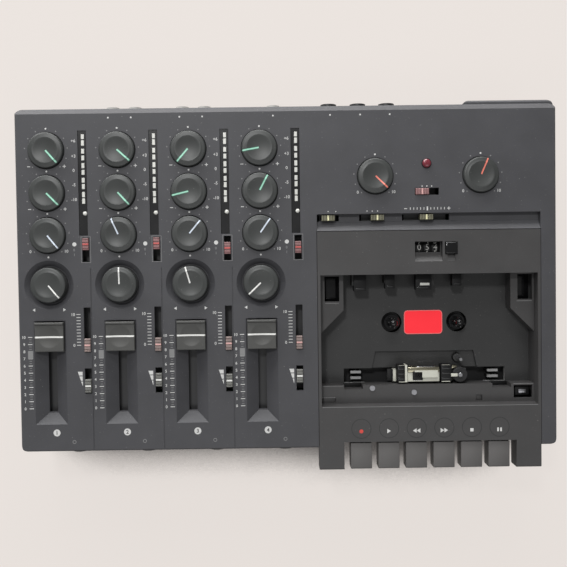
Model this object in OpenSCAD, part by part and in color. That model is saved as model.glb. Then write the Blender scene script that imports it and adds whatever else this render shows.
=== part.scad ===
// Four track cassette recorder: a four channel mixer with a cassette deck in its right half.
// X runs to the right, Y to the rear and Z up, in millimetres. Places on the panel are measured
// from the panel's middle and heights from the table. placed() puts the origin under the middle
// of the whole object.

/* [Case] */
// Width of the case
case_w = 338.4; // [325:0.2:350]
// Depth of the flat panel, from its front edge to the rear bevel
panel_d = 211.8; // [211.4:0.2:215]
// Height of the panel over the table
case_h = 58; // [57:0.5:64]
// Thickness of the case's walls
wall = 2.4; // [2:0.1:2.8]
// Thickness of the panel
panel_t = 2.5; // [2.2:0.1:2.8]
// Size of the bevel along the rear edge
rear_bevel = 3.5; // [2:0.1:4]
// Size of the small bevels along the other top edges
edge_bevel = 0.8; // [0.4:0.1:1.2]
// Radius of the case's upright corners
corner_r = 4; // [3:0.5:6]
// Height at which the top and bottom cases meet
split_z = 21; // [19.5:0.5:24]
// Gap at the seams between case parts
seam = 0.3; // [0.2:0.05:0.4]
// Height of a rubber foot
foot_h = 4; // [3:0.5:5]
// Diameter of a rubber foot
foot_d = 16; // [12:1:20]

/* [Knobs] */
// Diameter of a knob
knob_d = 22; // [18:0.5:23]
// Gap round a knob in its panel hole
knob_gap = 0.6; // [0.4:0.1:0.9]
// How far a knob stands over the panel
knob_rise = 3; // [2:0.25:6]
// How far a knob reaches below the panel
knob_sink = 4.5; // [3.5:0.25:5.5]
// Radius of the dish in a knob's top
knob_dish_r = 7.8; // [5:0.1:8.2]
// Depth of the dish in a knob's top
knob_dish_deep = 0.9; // [0.4:0.1:1.2]
// Diameter of a control shaft
shaft_d = 6; // [4:0.5:7]
// Diameter, at the panel, of the dish round a PAN knob
pan_dish_d = 31; // [28:0.5:32]
// Depth of the dish round a PAN knob
pan_dish_deep = 3; // [1:0.25:3.5]

/* [Channels] */
// From the case's left side to channel 1's column of knobs
ch1_in = 19.4; // [18.4:0.1:20]
// How far a fifth column of knobs would lie past the tape section's left edge
ch_past = 8.92; // [8:0.02:9.5]
// Place of the HIGH knobs
high_y = 83.3; // [82.6:0.1:84]
// Place of the LOW knobs
low_y = 56.7; // [55.8:0.1:57.4]
// Place of the AUX knobs
aux_y = 30.3; // [29:0.1:31]
// Place of the PAN knobs
pan_y = -0.9; // [-2:0.1:0.2]
// Side of the small sliders from the middle between two columns of knobs
slot_side = 1.41; // [1:0.01:1.8]
// Side of a level meter from the same middle
meter_side = 0.21; // [0:0.01:1.3]
// Width of a level meter
meter_w = 5.4; // [5:0.2:6.6]
// Rear end of a level meter
meter_rear = 95.4; // [94:0.1:96]
// Front end of a level meter
meter_front = 30; // [29.6:0.1:32]
// Middle place of a REC SELECT switch
rec_y = 21; // [20:0.1:21.4]
// From one REC SELECT place to the next
rec_step = 3.5; // [3:0.1:3.6]
// Place of a CUE slider at 0
cue_y = -38.9; // [-40:0.1:-38]
// Travel of a CUE slider
cue_travel = 19.2; // [17:0.1:20]
// Place of a GAIN slider at its lowest
gain_y = -64.9; // [-66:0.1:-64]
// Travel of a GAIN slider
gain_travel = 6.8; // [5:0.1:8]

/* [Small sliders] */
// Width of a small slider's cap, across its travel
cap_w = 3.8; // [3.2:0.1:4.2]
// Length of a CUE, GAIN or selector cap, along its travel
cap_l = 8.2; // [7:0.1:8.6]
// Length of a REC SELECT cap
rec_cap_l = 7.3; // [6:0.1:7.6]
// How far a small cap stands over the panel
cap_rise = 1.2; // [0.6:0.1:3]
// Gap each side of a small cap in its slot
cap_gap = 0.3; // [0.25:0.05:0.4]
// Spare length at each end of a slider's slot
slot_spare = 0.45; // [0.3:0.05:0.6]

/* [Faders] */
// Place of a fader cap at 10
fader_y = -33.4; // [-34:0.1:-32]
// Travel of a fader
fader_travel = 45.1; // [40:0.1:45.6]
// Width of a fader cap
fader_w = 18; // [15:0.5:18.4]
// Length of a fader cap
fader_l = 18.3; // [15:0.1:19]
// How far a fader cap stands over the panel
fader_rise = 3; // [2:0.25:8]
// Width of a fader's trough at the panel
trough_w = 20.1; // [19.6:0.1:22]
// Width of a fader's trough at its floor
trough_floor_w = 5.6; // [5.2:0.1:6.4]
// Depth of a fader's trough
trough_deep = 5; // [4.5:0.1:5.5]
// Length of the ramp at the front of a trough
ramp_l = 6.7; // [5.5:0.1:8]
// Diameter of the dish in a fader cap
fader_dish_d = 13.4; // [10:0.2:14]

/* [Master section] */
// Side of the AUX RETURN knob from the tape section's middle line
return_dx = -33.4; // [-35:0.1:-32]
// Side of the MONITOR knob from the same line
monitor_dx = 32.8; // [30:0.1:35]
// Place of both master knobs, to the rear
master_y = 64.8; // [64:0.1:68]
// Side of the power lamp from the middle line
lamp_dx = -1.1; // [-5:0.1:3]
// Place of the power lamp, to the rear
lamp_y = 72.3; // [70:0.1:78]
// Diameter of the power lamp
lamp_d = 6; // [5:0.5:8]
// Side of the MONITOR SELECT slot's middle from the middle line
select_dx = -1; // [-3:0.1:1]
// Middle of the MONITOR SELECT slot, to the rear
select_y = 54.8; // [54:0.1:58]
// From one selector place to the next
select_step = 3; // [2.5:0.1:3.4]
// Rear edge of the switch groove
groove_rear = 41.3; // [41:0.1:42]
// Where the groove's floor meets its slope
groove_floor = 36.5; // [36:0.1:36.6]
// Front edge of the groove's slope
groove_front = 30.9; // [30:0.1:31.5]
// Depth of the switch groove
groove_deep = 4; // [3:0.1:4.4]
// Side of the ZERO STOP slot from the middle line
zero_dx = -63.1; // [-63.1:0.1:-61]
// Side of the NOISE REDUCTION slot from the middle line
noise_dx = -35.4; // [-37:0.1:-33]
// Side of the PITCH slot from the middle line
pitch_dx = -1.2; // [-3:0.1:1]
// Travel of the PITCH slider
pitch_travel = 20.8; // [18:0.1:22]

/* [Tape section] */
// From the case's right side to the middle line of the tape section
deck_in = 80.1; // [79.5:0.1:80]
// Width of the tape cover
cover_w = 140.6; // [140:0.1:141]
// Width of the rim beside the recess for a cassette door
rim = 1.8; // [1.6:0.1:2.2]
// Rear edge of the door recess
door_rear = 3; // [2.5:0.1:3.5]
// Front edge of the door recess
door_front = -80.1; // [-81:0.1:-79.6]
// Depth of the door recess
door_deep = 8; // [7:0.1:8.4]
// Depth of the cassette well
well_deep = 19; // [18.6:0.1:20]
// How much narrower the well's rear part is than the recess, on each side
well_spread = 15; // [14.5:0.1:16]
// Where the well's rear part starts to widen
well_turn = -19.7; // [-21:0.1:-18]
// Front wall of the well
well_front = -68; // [-68.4:0.1:-67.4]
// Distance between the two hubs of a cassette
hub_spacing = 42.5; // [42.4:0.1:42.6]
// Line of the hubs
hub_y = -28.6; // [-29:0.1:-28.2]
// Diameter of the holes round the spindles
hub_hole_d = 13.4; // [12:0.1:15]
// Diameter of a spindle over its fins
spindle_d = 7.2; // [6.6:0.1:7.8]
// How far the spindle tips lie below the panel
spindle_down = 7.5; // [5:0.1:8]
// Side of the capstan, from the middle line
capstan_dx = 21.3; // [20.8:0.1:21.8]
// Line of the capstan
capstan_y = -52.2; // [-52.8:0.1:-52]
// Diameter of the capstan
capstan_d = 2; // [1.8:0.1:2.4]
// Diameter of the flywheel
flywheel_d = 44; // [38:1:46]
// Radius of the pinch roller
roller_r = 4.8; // [4.4:0.1:5.2]
// Travel of the head carriage
carriage_travel = 4; // [3:0.1:4]
// Gap between the pinch roller and the capstan when the carriage is forward
pinch_gap = 0.3; // [0.3:0.05:0.5]
// Diameter of the motor
motor_d = 24; // [20:1:25]
// Diameter of the motor's pulley
pulley_d = 8; // [6:0.5:10]

/* [Tape keys] */
// Gap between an outer key and the arm beside it
key_side = 4.175; // [4:0.025:4.5]
// Width of a key
key_w = 13.4; // [12:0.1:14]
// Length of a key's cap
key_l = 16.6; // [14:0.2:18]
// Height of a key's cap
key_h = 11; // [9:0.5:12]
// How far the key tops lie below the panel
key_down = 1; // [0:0.1:2]
// Width of an arm beside the keys
arm_w = 15.7; // [15.4:0.1:16]
// Height of the arms beside the keys
arm_h = 12; // [10:0.5:14]
// Line of the shaft that the keys turn on
pivot_y = -78.5; // [-79:0.1:-78]
// Diameter of that shaft
pivot_d = 4; // [3:0.5:4.5]

/* [Counter] */
// Side of the counter's window from the middle line
counter_dx = -0.1; // [-0.6:0.1:0.5]
// Rear edge of the counter's window
counter_y = 23.5; // [23.2:0.1:24]
// Radius of a counter wheel
wheel_r = 6.5; // [6:0.1:7]
// Side of the counter's reset button from the middle line
reset_dx = 14.1; // [14:0.1:15]
// Middle of the reset button, to the rear
reset_y = 19.2; // [18.8:0.1:19.6]
// Width of the reset button
reset_w = 7.6; // [6.6:0.1:7.6]
// Travel of the reset button
reset_travel = 2.5; // [1.5:0.1:3]

/* [Jacks] */
// Radius of a phone jack's bore
jack_bore_r = 3.25; // [3.25:0.05:3.3]
// Outer radius of a phone jack's collar
jack_collar_r = 5.1; // [4.8:0.1:5.4]
// How far a phone jack's collar stands out of the case
jack_out = 3; // [2:0.1:6]
// Outer radius of a small signal jack
rca_r = 4.15; // [4.1:0.05:4.2]
// How far a small signal jack stands out of the case
rca_out = 2.7; // [2:0.1:5.2]
// From a column of knobs to the channel's front jack
front_jack_dx = 14; // [12:0.5:15]
// Side of the headphone jack from the tape section's middle line
phones_dx = 60.9; // [57:0.1:62.5]

/* [Hidden] */
$fn = 48;
over = 0.01;
channels = [0:3];
// Settings of the controls at rest: knobs in degrees clockwise from the middle, sliders in mm
high_set = [138, 132, -140, -100.5];
low_set = [135, 137, -104, 28];
aux_set = [140, -23, 40.5, 35.5];
pan_set = [139, 0, -15.5, -133.5];
return_set = 135;
monitor_set = 22;
gain_set = [0.3, 3.6, 2.5, 4.8];
rec_set = [1, 1, 0, 0];

// The case
front_y = -panel_d / 2;
rear_y = panel_d / 2 + rear_bevel;
side_x = case_w / 2;
deck_x = side_x - deck_in;
cover_x0 = deck_x - cover_w / 2;
cover_x1 = deck_x + cover_w / 2;
ch1_x = -side_x + ch1_in;
ch_pitch = (cover_x0 + ch_past - ch1_x) / 4;
slot_dx = ch_pitch / 2 + slot_side;
meter_dx = ch_pitch / 2 + meter_side;
base_z = foot_h;
floor_z = base_z + wall;
under_panel = case_h - panel_t;
board_t = 1.6;
board_z = case_h - 22;
post_r = 3.5;
screw_r = 1.4;
screw_head_r = 2.8;
screw_head_h = 2;
post_inset = 8.3;
strip_post_r = 3;
strip_x = (side_x - wall + deck_x + cover_w / 2) / 2;
front_post_y = front_y + 10;
rear_post_y = rear_y - 13.4;
case_posts = [
    [-side_x + post_inset, front_post_y, post_r], [-side_x + post_inset, rear_post_y, post_r],
    [cover_x0 - 9.8, front_post_y, post_r], [cover_x0 - 9.8, rear_post_y, post_r],
    [strip_x, front_post_y, strip_post_r], [strip_x, rear_post_y, strip_post_r]];
post_side = 11;
board_posts = [
    [slot_x(0) + post_side, 70], [slot_x(0) + post_side, -60],
    [slot_x(2) + post_side, 70], [slot_x(2) + post_side, -60],
    [deck_x - 17, high_y + 3], [deck_x + 46, high_y + 3]];

// Controls
return_x = deck_x + return_dx;
monitor_x = deck_x + monitor_dx;
lamp_x = deck_x + lamp_dx;
select_x = deck_x + select_dx;
zero_x = deck_x + zero_dx;
noise_x = deck_x + noise_dx;
pitch_x = deck_x + pitch_dx;
pot_h = 10;
pot_w = 11;
stem_gap = 0.3;
knob_hole_d = knob_d + 2 * knob_gap;
slot_w = cap_w + 2 * cap_gap;
small_pot_top = board_z + 14;
fader_pot_top = case_h - trough_deep - wall - 2.6;
rec_travel = 2 * rec_step;
select_travel = 2 * select_step;
zero_travel = 4.8;
noise_travel = 6.6;
groove_z = case_h - groove_deep;
switch_y = (groove_rear + groove_floor) / 2;
groove_cap_w = groove_rear - groove_floor - 2 * cap_gap - 0.8;
trough_rear = fader_y + fader_l / 2 + 0.85;
keel_front = 3;
trough_front = fader_y - fader_travel - keel_front - 0.6;
keel_gap = 0.7;
keel_side = 0.9;

// The tape section
cover_rear = groove_front - 0.5;
door_w = cover_w - 2 * rim;
well_w = door_w - 2 * well_spread;
door_z = case_h - door_deep;
well_z = case_h - well_deep;
shelf_t = 2.4;
front_block = 5;
arm_in = cover_w / 2 - arm_w;
key_pitch = (2 * (arm_in - key_side) - key_w) / 5;
bay_y = front_y + 3.1;
key_y = bay_y - 0.8;
arm_y = key_y - key_l;
key_top = case_h - key_down;
pivot_z = case_h - 15;
key_fit = 0.06;
hub_r = pivot_d / 2 + 2;
lever_w = 5;
lever_drop = 2;
lever_rise = 3.5;
deck_t = 3.5;
recess_deep = 2.3;
chassis_z = case_h - 30;
chassis_t = 1.5;
chassis_top = chassis_z + chassis_t;
chassis_in = 6.3;
chassis_x0 = cover_x0 + chassis_in;
chassis_x1 = cover_x1 - chassis_in;
pillar_in = 5;
chassis_y0 = pivot_y - 6;
chassis_y1 = groove_front;
chassis_posts = [for (x = [chassis_x0 + pillar_in, chassis_x1 - pillar_in],
    y = [chassis_y0 + 12, chassis_y1 - 5]) [x, y]];
run_fit = 0.05;
seat = 0.05;
sleeve_r = 2.6;
capstan_x = deck_x + capstan_dx;
flywheel_h = 7;
flywheel_z = chassis_z - 1 - flywheel_h;
motor_x = deck_x - 44.1;
motor_y = 19.5;
motor_h = 18;
pulley_r = pulley_d / 2;
belt_t = 0.8;
belt_gap = 0.3;
reel_r = 14;
reel_z = chassis_top + 1.5;
spindle_top = case_h - spindle_down;
opening_w = well_w - 1.2;
opening_rear = -58.6;
carriage_z = well_z - recess_deep + 0.3;
carriage_top = well_z + 1.2;
carriage_front = well_front + 1.2;
carriage_rear = opening_rear - 0.6;
roller_y = capstan_y - capstan_d / 2 - roller_r - pinch_gap - carriage_travel;
roller_pin_r = 1;
// The head carriage: its ends from the middle line, its two guide boxes and its three fins
carriage_x0 = deck_x - 24.5;
carriage_x1 = capstan_x + 5.6;
guide_w = 5.4;
guide_x = [deck_x - 15.4, deck_x + 12.2];
fin_x = [guide_x[0] - 5.2, guide_x[0] + 5.8, guide_x[1] - 3.8];
head_x0 = deck_x - 8;
head_x1 = deck_x + 6.8;
// The shallow recess in the deck plate that the heads move over
recess_front_w = 69.4;
recess_rear_w = 64.2;
recess_l = 11;
hinge_w = 9.4;
hinge_dx = door_w / 2 - 5.8;
// The left slot lies further in than the right one
hinge_in = 1.9;
notch_w = 12;
notch_dx = opening_w / 2 - 5.3;
hub_l = 9;
collar_r = pivot_d / 2 + 1.2;
counter_x = deck_x + counter_dx;
reset_x = deck_x + reset_dx;
wheel_l = 5;
wheel_z = case_h - 5.3 - wheel_r;
window_y = 3.55;
reset_z = case_h - 9;
counter_w = 17.4;
counter_shaft_r = 1.25;
cheek_t = 1.2;

// Jacks
jack_z = board_z + 6;
jack_body_w = 12;
jack_body_l = 15;
jack_free_r = jack_bore_r + 0.35;
jack_hole_r = jack_collar_r + 0.3;
jack_mouth = jack_out + 9;
jack_deep = 13;
rca_x = [ch1_x + 39, ch1_x + 53.3, ch1_x + 83.6, ch1_x + 97.8, ch1_x + 142];
phone_x = [deck_x - 61.2, deck_x - 42.4, deck_x - 23.9];
phones_x = deck_x + phones_dx;
power_x = deck_x + 58.9;
power_l = 13;
power_w = 8;
power_out = 4;
inlet_x = deck_x + 34.9;
// The low boss on the rear wall round the power inlet and switch
boss_out = 2.8;
boss_x0 = inlet_x - 12;
boss_z0 = split_z + 3;
boss_z1 = case_h - 5;
inlet_l = 12;
inlet_r = 4.6;
inlet_bore_r = 2.75;
inlet_pin_r = 1;
phones_z = 13;
rear_in = rear_y - wall;
front_in = front_y + wall;

// The middle of the whole object, from the key fronts to the power switch
middle_y = (rear_y + power_out + arm_y) / 2;

panel_grey = [0.31, 0.31, 0.33];
cover_grey = [0.29, 0.285, 0.285];
dark_grey = [0.16, 0.16, 0.17];
black = [0.06, 0.06, 0.065];
steel = [0.72, 0.72, 0.74];
cream = [0.78, 0.78, 0.74];

CHANNEL_PARTS = ["high_knob", "low_knob", "aux_knob", "pan_knob", "fader", "cue_slider",
    "gain_slider", "rec_select"];
KEYS = ["record_key", "play_key", "rewind_key", "forward_key", "stop_key", "pause_key"];

function ch_x(n) = ch1_x + n * ch_pitch;
function slot_x(n) = ch_x(n) + slot_dx;
function key_x(i) = deck_x + (i - 2.5) * key_pitch;
// Points of an arc about a centre, from one angle to another
function arc(centre, r, a0, a1, steps) =
    [for (i = [0:steps]) let (a = a0 + (a1 - a0) * i / steps) centre + r * [cos(a), sin(a)]];
// Points of a rectangle with round corners
function round_rect(x0, x1, y0, y1, r) = concat(
    arc([x1 - r, y1 - r], r, 0, 90, 6), arc([x0 + r, y1 - r], r, 90, 180, 6),
    arc([x0 + r, y0 + r], r, 180, 270, 6), arc([x1 - r, y0 + r], r, 270, 360, 6));
// Points round two circles with a tight belt's outline
function belt_line(c0, r0, c1, r1) =
    let (run = c1 - c0, lean = acos((r0 - r1) / norm(run)), aim = atan2(run[1], run[0]))
    concat(arc(c0, r0, aim + lean, aim + 360 - lean, 12), arc(c1, r1, aim - lean, aim + lean, 30));

module placed() translate([0, -middle_y, 0]) children();
module block(low, high) translate(low) cube(high - low);
module post(x, y, z0, z1, r) translate([x, y, z0]) cylinder(h = z1 - z0, r = r);
// A profile in X and Z, drawn out along Y
module along_y(y0, y1, points)
    translate([0, y1, 0]) rotate([90, 0, 0]) linear_extrude(y1 - y0) polygon(points);
// A profile in Y and Z, drawn out along X
module along_x(x0, x1, points)
    translate([x0, 0, 0]) rotate([90, 0, 90]) linear_extrude(x1 - x0) polygon(points);
// A cylinder along Y that starts at y and goes to the rear
module rod_y(x, y, z, l, r) translate([x, y + l, z]) rotate([90, 0, 0]) cylinder(h = l, r = r);
module rod_x(x, y, z, l, r) translate([x, y, z]) rotate([0, 90, 0]) cylinder(h = l, r = r);

module case_outline(inset)
    polygon(round_rect(-side_x + inset, side_x - inset, front_y + inset, rear_y - inset,
        corner_r - inset));
// The walls and the roof of the case, with its bevelled top edges
module top_shell() difference() {
    intersection() {
        translate([0, 0, split_z]) linear_extrude(case_h - split_z) case_outline(0);
        along_x(-case_w, case_w, [[front_y - 1, 0], [rear_y + 1, 0], [rear_y + 1, case_h - rear_bevel - 1],
            [rear_y - rear_bevel, case_h], [front_y + edge_bevel, case_h],
            [front_y - 1, case_h - edge_bevel - 1]]);
        along_y(-case_w, case_w, [[-side_x - 1, 0], [side_x + 1, 0], [side_x + 1, case_h - edge_bevel - 1],
            [side_x - edge_bevel, case_h], [-side_x + edge_bevel, case_h],
            [-side_x - 1, case_h - edge_bevel - 1]]);
    }
    translate([0, 0, split_z - 1]) linear_extrude(under_panel - split_z + 1) case_outline(wall);
}
// The space of a fader's trough, drawn smaller by gap for the cap that runs in it
module trough_space(x) intersection() {
    along_y(trough_front - ramp_l - 2, trough_rear, [
        [x - trough_w / 2, case_h + over], [x - trough_floor_w / 2, case_h - trough_deep],
        [x + trough_floor_w / 2, case_h - trough_deep], [x + trough_w / 2, case_h + over]]);
    along_x(x - trough_w, x + trough_w, [[trough_front - ramp_l, case_h + over],
        [trough_front, case_h - trough_deep - over], [trough_rear, case_h - trough_deep - over],
        [trough_rear, case_h + over]]);
}
module knob_hole(x, y) post(x, y, 0, case_h + 1, knob_hole_d / 2);
// A slot for a small slider that travels along Y about its middle
module long_slot(x, y, travel, length)
    block([x - slot_w / 2, y - (travel + length) / 2 - slot_spare, under_panel - 4],
        [x + slot_w / 2, y + (travel + length) / 2 + slot_spare, case_h + 1]);
module cross_slot(x, y, travel, width)
    block([x - (travel + cap_l) / 2 - slot_spare, y - width / 2 - cap_gap, under_panel - 4],
        [x + (travel + cap_l) / 2 + slot_spare, y + width / 2 + cap_gap, case_h + 1]);
module wall_hole(x, z, r) rod_y(x, rear_in - 1, z, wall + 2, r);

module top_case() color(panel_grey) difference() {
    union() {
        top_shell();
        for (n = channels) {
            post(ch_x(n), pan_y, case_h - pan_dish_deep - panel_t, under_panel + over, pan_dish_d / 2 + 1);
            block([ch_x(n) - trough_w / 2 - 1, trough_front - ramp_l, case_h - trough_deep - 2],
                [ch_x(n) + trough_w / 2 + 1, trough_rear + 2, under_panel + over]);
        }
        block([cover_x0 - 2, cover_rear - 1, groove_z - 2],
            [cover_x1 + 2, groove_rear + 2, under_panel + over]);
        for (p = case_posts) post(p[0], p[1], split_z + seam, under_panel + over, p[2]);
        for (p = board_posts) post(p[0], p[1], board_z, under_panel + over, post_r);
        intersection() {
            translate([0, 0, boss_z0]) linear_extrude(boss_z1 - boss_z0) difference() {
                polygon(round_rect(boss_x0, side_x, rear_y - 9, rear_y + boss_out, corner_r));
                case_outline(wall);
            }
            along_x(boss_x0 - 1, side_x + 1, [[rear_y - 10, boss_z0 - 1], [rear_y + boss_out + 1, boss_z0 - 1],
                [rear_y + boss_out + 1, boss_z1 - 2.2], [rear_y + boss_out - 1.2, boss_z1], [rear_y - 10, boss_z1]]);
        }
    }
    // the opening for the tape cover
    block([cover_x0 - seam, front_y - 1, split_z - 1], [cover_x1 + seam, cover_rear + seam, case_h + 1]);
    for (n = channels) {
        knob_hole(ch_x(n), high_y);
        knob_hole(ch_x(n), low_y);
        knob_hole(ch_x(n), aux_y);
        knob_hole(ch_x(n), pan_y);
        translate([ch_x(n), pan_y, case_h - pan_dish_deep])
            cylinder(h = pan_dish_deep + over, d1 = knob_hole_d + 0.8, d2 = pan_dish_d);
        block([ch_x(n) + meter_dx - meter_w / 2, meter_front, 0],
            [ch_x(n) + meter_dx + meter_w / 2, meter_rear, case_h + 1]);
        long_slot(slot_x(n), rec_y, rec_travel, rec_cap_l);
        long_slot(slot_x(n), cue_y + cue_travel / 2, cue_travel, cap_l);
        long_slot(slot_x(n), gain_y + gain_travel / 2, gain_travel, cap_l);
        trough_space(ch_x(n));
        block([ch_x(n) - trough_floor_w / 2 + 0.1, trough_front + 0.5, 0],
            [ch_x(n) + trough_floor_w / 2 - 0.1, trough_rear - 1, case_h]);
        rod_y(ch_x(n) + front_jack_dx, front_y - 1, jack_z, wall + 2, jack_hole_r);
    }
    // the grooves that part the channels
    for (n = [0:2])
        block([slot_x(n) + slot_w / 2 + 0.3, front_y - 1, case_h - 0.4],
            [slot_x(n) + slot_w / 2 + 1, pan_y + 10, case_h + 1]);
    knob_hole(return_x, master_y);
    knob_hole(monitor_x, master_y);
    post(lamp_x, lamp_y, 0, case_h + 1, lamp_d / 2 + 0.15);
    cross_slot(select_x, select_y, select_travel, cap_w);
    along_x(cover_x0, cover_x1, [[groove_front, case_h + over], [groove_front, case_h],
        [groove_floor, groove_z], [groove_rear, groove_z], [groove_rear, case_h + over]]);
    cross_slot(zero_x, switch_y, zero_travel, groove_cap_w);
    cross_slot(noise_x, switch_y, noise_travel, groove_cap_w);
    cross_slot(pitch_x, switch_y, pitch_travel, groove_cap_w);
    for (x = rca_x) wall_hole(x, jack_z, rca_r + 0.3);
    for (x = phone_x) wall_hole(x, jack_z, jack_hole_r);
    wall_hole(inlet_x, jack_z, inlet_r + 0.3);
    block([power_x - power_w / 2 - 0.3, rear_in - 1, jack_z - power_w / 2 - 0.3],
        [power_x + power_w / 2 + 0.3, rear_y + 1, jack_z + power_w / 2 + 0.3]);
    // the pockets in the rear boss
    rod_y(inlet_x, rear_y, jack_z, boss_out + 1, 8);
    block([power_x - 6.5, rear_y, jack_z - 6.5], [power_x + 6.5, rear_y + boss_out + 1, jack_z + 6.5]);
    for (p = case_posts) post(p[0], p[1], 0, split_z + 12, screw_r + 0.05);
    for (p = board_posts) post(p[0], p[1], 0, board_z + 8, screw_r + 0.05);
}

module bottom_case() color(panel_grey) difference() {
    union() {
        difference() {
            translate([0, 0, base_z]) linear_extrude(split_z - base_z) case_outline(0);
            translate([0, 0, floor_z]) linear_extrude(split_z) case_outline(wall);
        }
        for (p = case_posts) post(p[0], p[1], floor_z - over, split_z, p[2] + 0.8);
        for (p = chassis_posts) post(p[0], p[1], floor_z - over, chassis_z, post_r);
    }
    for (p = case_posts) {
        post(p[0], p[1], 0, split_z + 1, screw_r + 0.3);
        post(p[0], p[1], 0, floor_z + 0.6, screw_head_r + 0.3);
    }
    rod_y(phones_x, front_y - 1, phones_z, wall + 2, jack_hole_r);
}

// The plan of the cassette well, wider by grow
function well_plan(grow) = let (half = well_w / 2 + grow, full = door_w / 2 + grow, turn = well_turn + grow / 2)
    [[deck_x - half, door_rear + grow], [deck_x - half, turn], [deck_x - full, turn - well_spread],
    [deck_x - full, well_front - grow], [deck_x + full, well_front - grow],
    [deck_x + full, turn - well_spread], [deck_x + half, turn], [deck_x + half, door_rear + grow]];

module arm(side) {
    inner = deck_x + side * arm_in;
    outer = deck_x + side * cover_w / 2;
    x0 = min(inner, outer);
    x1 = max(inner, outer);
    difference() {
        along_x(x0, x1, [[arm_y, case_h - arm_h], [arm_y, case_h - edge_bevel],
            [arm_y + edge_bevel, case_h], [bay_y + wall, case_h], [bay_y + wall, case_h - arm_h]]);
        block([x0 + wall, arm_y + wall, case_h - arm_h + wall], [x1 - wall, bay_y + wall + 1, under_panel]);
    }
    block([x0, front_y, split_z + seam], [x1, front_in, case_h - arm_h + wall]);
    // the return wall from the arm's foot to the wall behind the keys
    return_x0 = side < 0 ? inner - wall : inner;
    block([return_x0, front_y, split_z + seam], [return_x0 + wall, bay_y + wall, case_h - arm_h + wall]);
}

module tape_cover() color(cover_grey) difference() {
    union() {
        block([cover_x0, bay_y, under_panel], [cover_x1, cover_rear, case_h]);
        for (side = [-1, 1]) arm(side);
        block([deck_x - arm_in - wall, bay_y, split_z + seam], [deck_x + arm_in + wall, bay_y + wall, case_h]);
        block([cover_x0, door_front - 2, door_z - shelf_t], [cover_x1, door_rear + 2, case_h - over]);
        translate([0, 0, well_z]) linear_extrude(door_z - shelf_t - well_z + over) polygon(well_plan(rim));
        block([cover_x0, well_front - front_block, well_z], [cover_x1, well_front, door_z - over]);
        // the counter's housing
        block([counter_x - counter_w / 2 - 1.5, counter_y - 14, wheel_z + wheel_r - 1.3],
            [counter_x + counter_w / 2 + 1.5, counter_y + 2, under_panel + over]);
        for (side = [-1, 1]) translate([counter_x + side * (counter_w / 2 + 0.3), 0, 0])
            block([-cheek_t / 2, counter_y - 9, wheel_z - 3], [cheek_t / 2, counter_y + 2, under_panel]);
        // the sleeve that guides the reset button
        block([reset_x - reset_w / 2 - 1.2, reset_y - 5.2, case_h - 8],
            [reset_x + reset_w / 2 + 1.2, reset_y + 5.2, under_panel + over]);
    }
    // the recess for a cassette door, whose front wall leans
    along_x(deck_x - door_w / 2, deck_x + door_w / 2, [[door_front + 0.4, door_z], [door_rear, door_z],
        [door_rear, case_h + 1], [door_front, case_h + 1], [door_front, case_h]]);
    translate([0, 0, well_z - 1]) linear_extrude(well_deep) polygon(well_plan(0));
    for (side = [-1, 1]) {
        // a hinge slot, and a notch beside the head opening
        hinge_x = deck_x + side * hinge_dx + (side < 0 ? hinge_in : 0);
        block([hinge_x - hinge_w / 2, door_rear - 17, door_z - shelf_t - 1],
            [hinge_x + hinge_w / 2, door_rear - 1, door_z + 1]);
        block([deck_x + side * notch_dx - notch_w / 2, well_front - 2.6, well_z - 1],
            [deck_x + side * notch_dx + notch_w / 2, well_front + 1, door_z + 1]);
    }
    // the pocket of the door's latch and two smaller openings in the front shelf
    block([deck_x + door_w / 2 - 13.2, well_front - 9.5, door_z - shelf_t - 7],
        [deck_x + door_w / 2 - 1.3, well_front - 1.3, door_z + 1]);
    block([deck_x + 31, well_front - 10.8, door_z - shelf_t - 1], [deck_x + 35, well_front - 7.2, door_z + 1]);
    block([deck_x - door_w / 2 - over, well_front - 11, door_z - shelf_t - 1],
        [deck_x - door_w / 2 + 9.3, well_front - 8.2, door_z + 1]);
    // the counter's pocket, its window and the room of its wheels
    along_x(counter_x - counter_w / 2, counter_x + counter_w / 2, [[counter_y - 12.6, case_h + over],
        [counter_y - 12.6, case_h], [counter_y - 7.1, case_h - 5], [counter_y, case_h - 5],
        [counter_y, case_h + over]]);
    rod_x(counter_x - 1.5 * wheel_l - 0.6, counter_y - window_y, wheel_z, 3 * wheel_l + 1.2, wheel_r + 0.4);
    block([counter_x - 1.5 * wheel_l - 0.6, counter_y - 2 * window_y + 0.3, wheel_z],
        [counter_x + 1.5 * wheel_l + 0.6, counter_y - 0.3, case_h]);
    rod_x(counter_x - counter_w, counter_y - window_y, wheel_z, 2 * counter_w, counter_shaft_r + run_fit);
    // the reset button's hole and the scoop in front of it
    block([reset_x - reset_w / 2 - 0.2, reset_y - 4, 0],
        [reset_x + reset_w / 2 + 0.2, reset_y + 4, case_h + 1]);
    along_x(reset_x - 2.4, reset_x + 2.4, [[reset_y - 8.4, case_h + over], [reset_y - 8.4, case_h],
        [reset_y - 3.5, case_h - 1.8], [reset_y - 3.5, case_h + over]]);
    // the keys' levers pass through the front wall
    for (i = [0:5]) block([key_x(i) - lever_w / 2 - 0.8, bay_y - 1, pivot_z - lever_drop - 4.6],
        [key_x(i) + lever_w / 2 + 0.8, bay_y + wall + 1, pivot_z + lever_rise + 1]);
}

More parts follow.
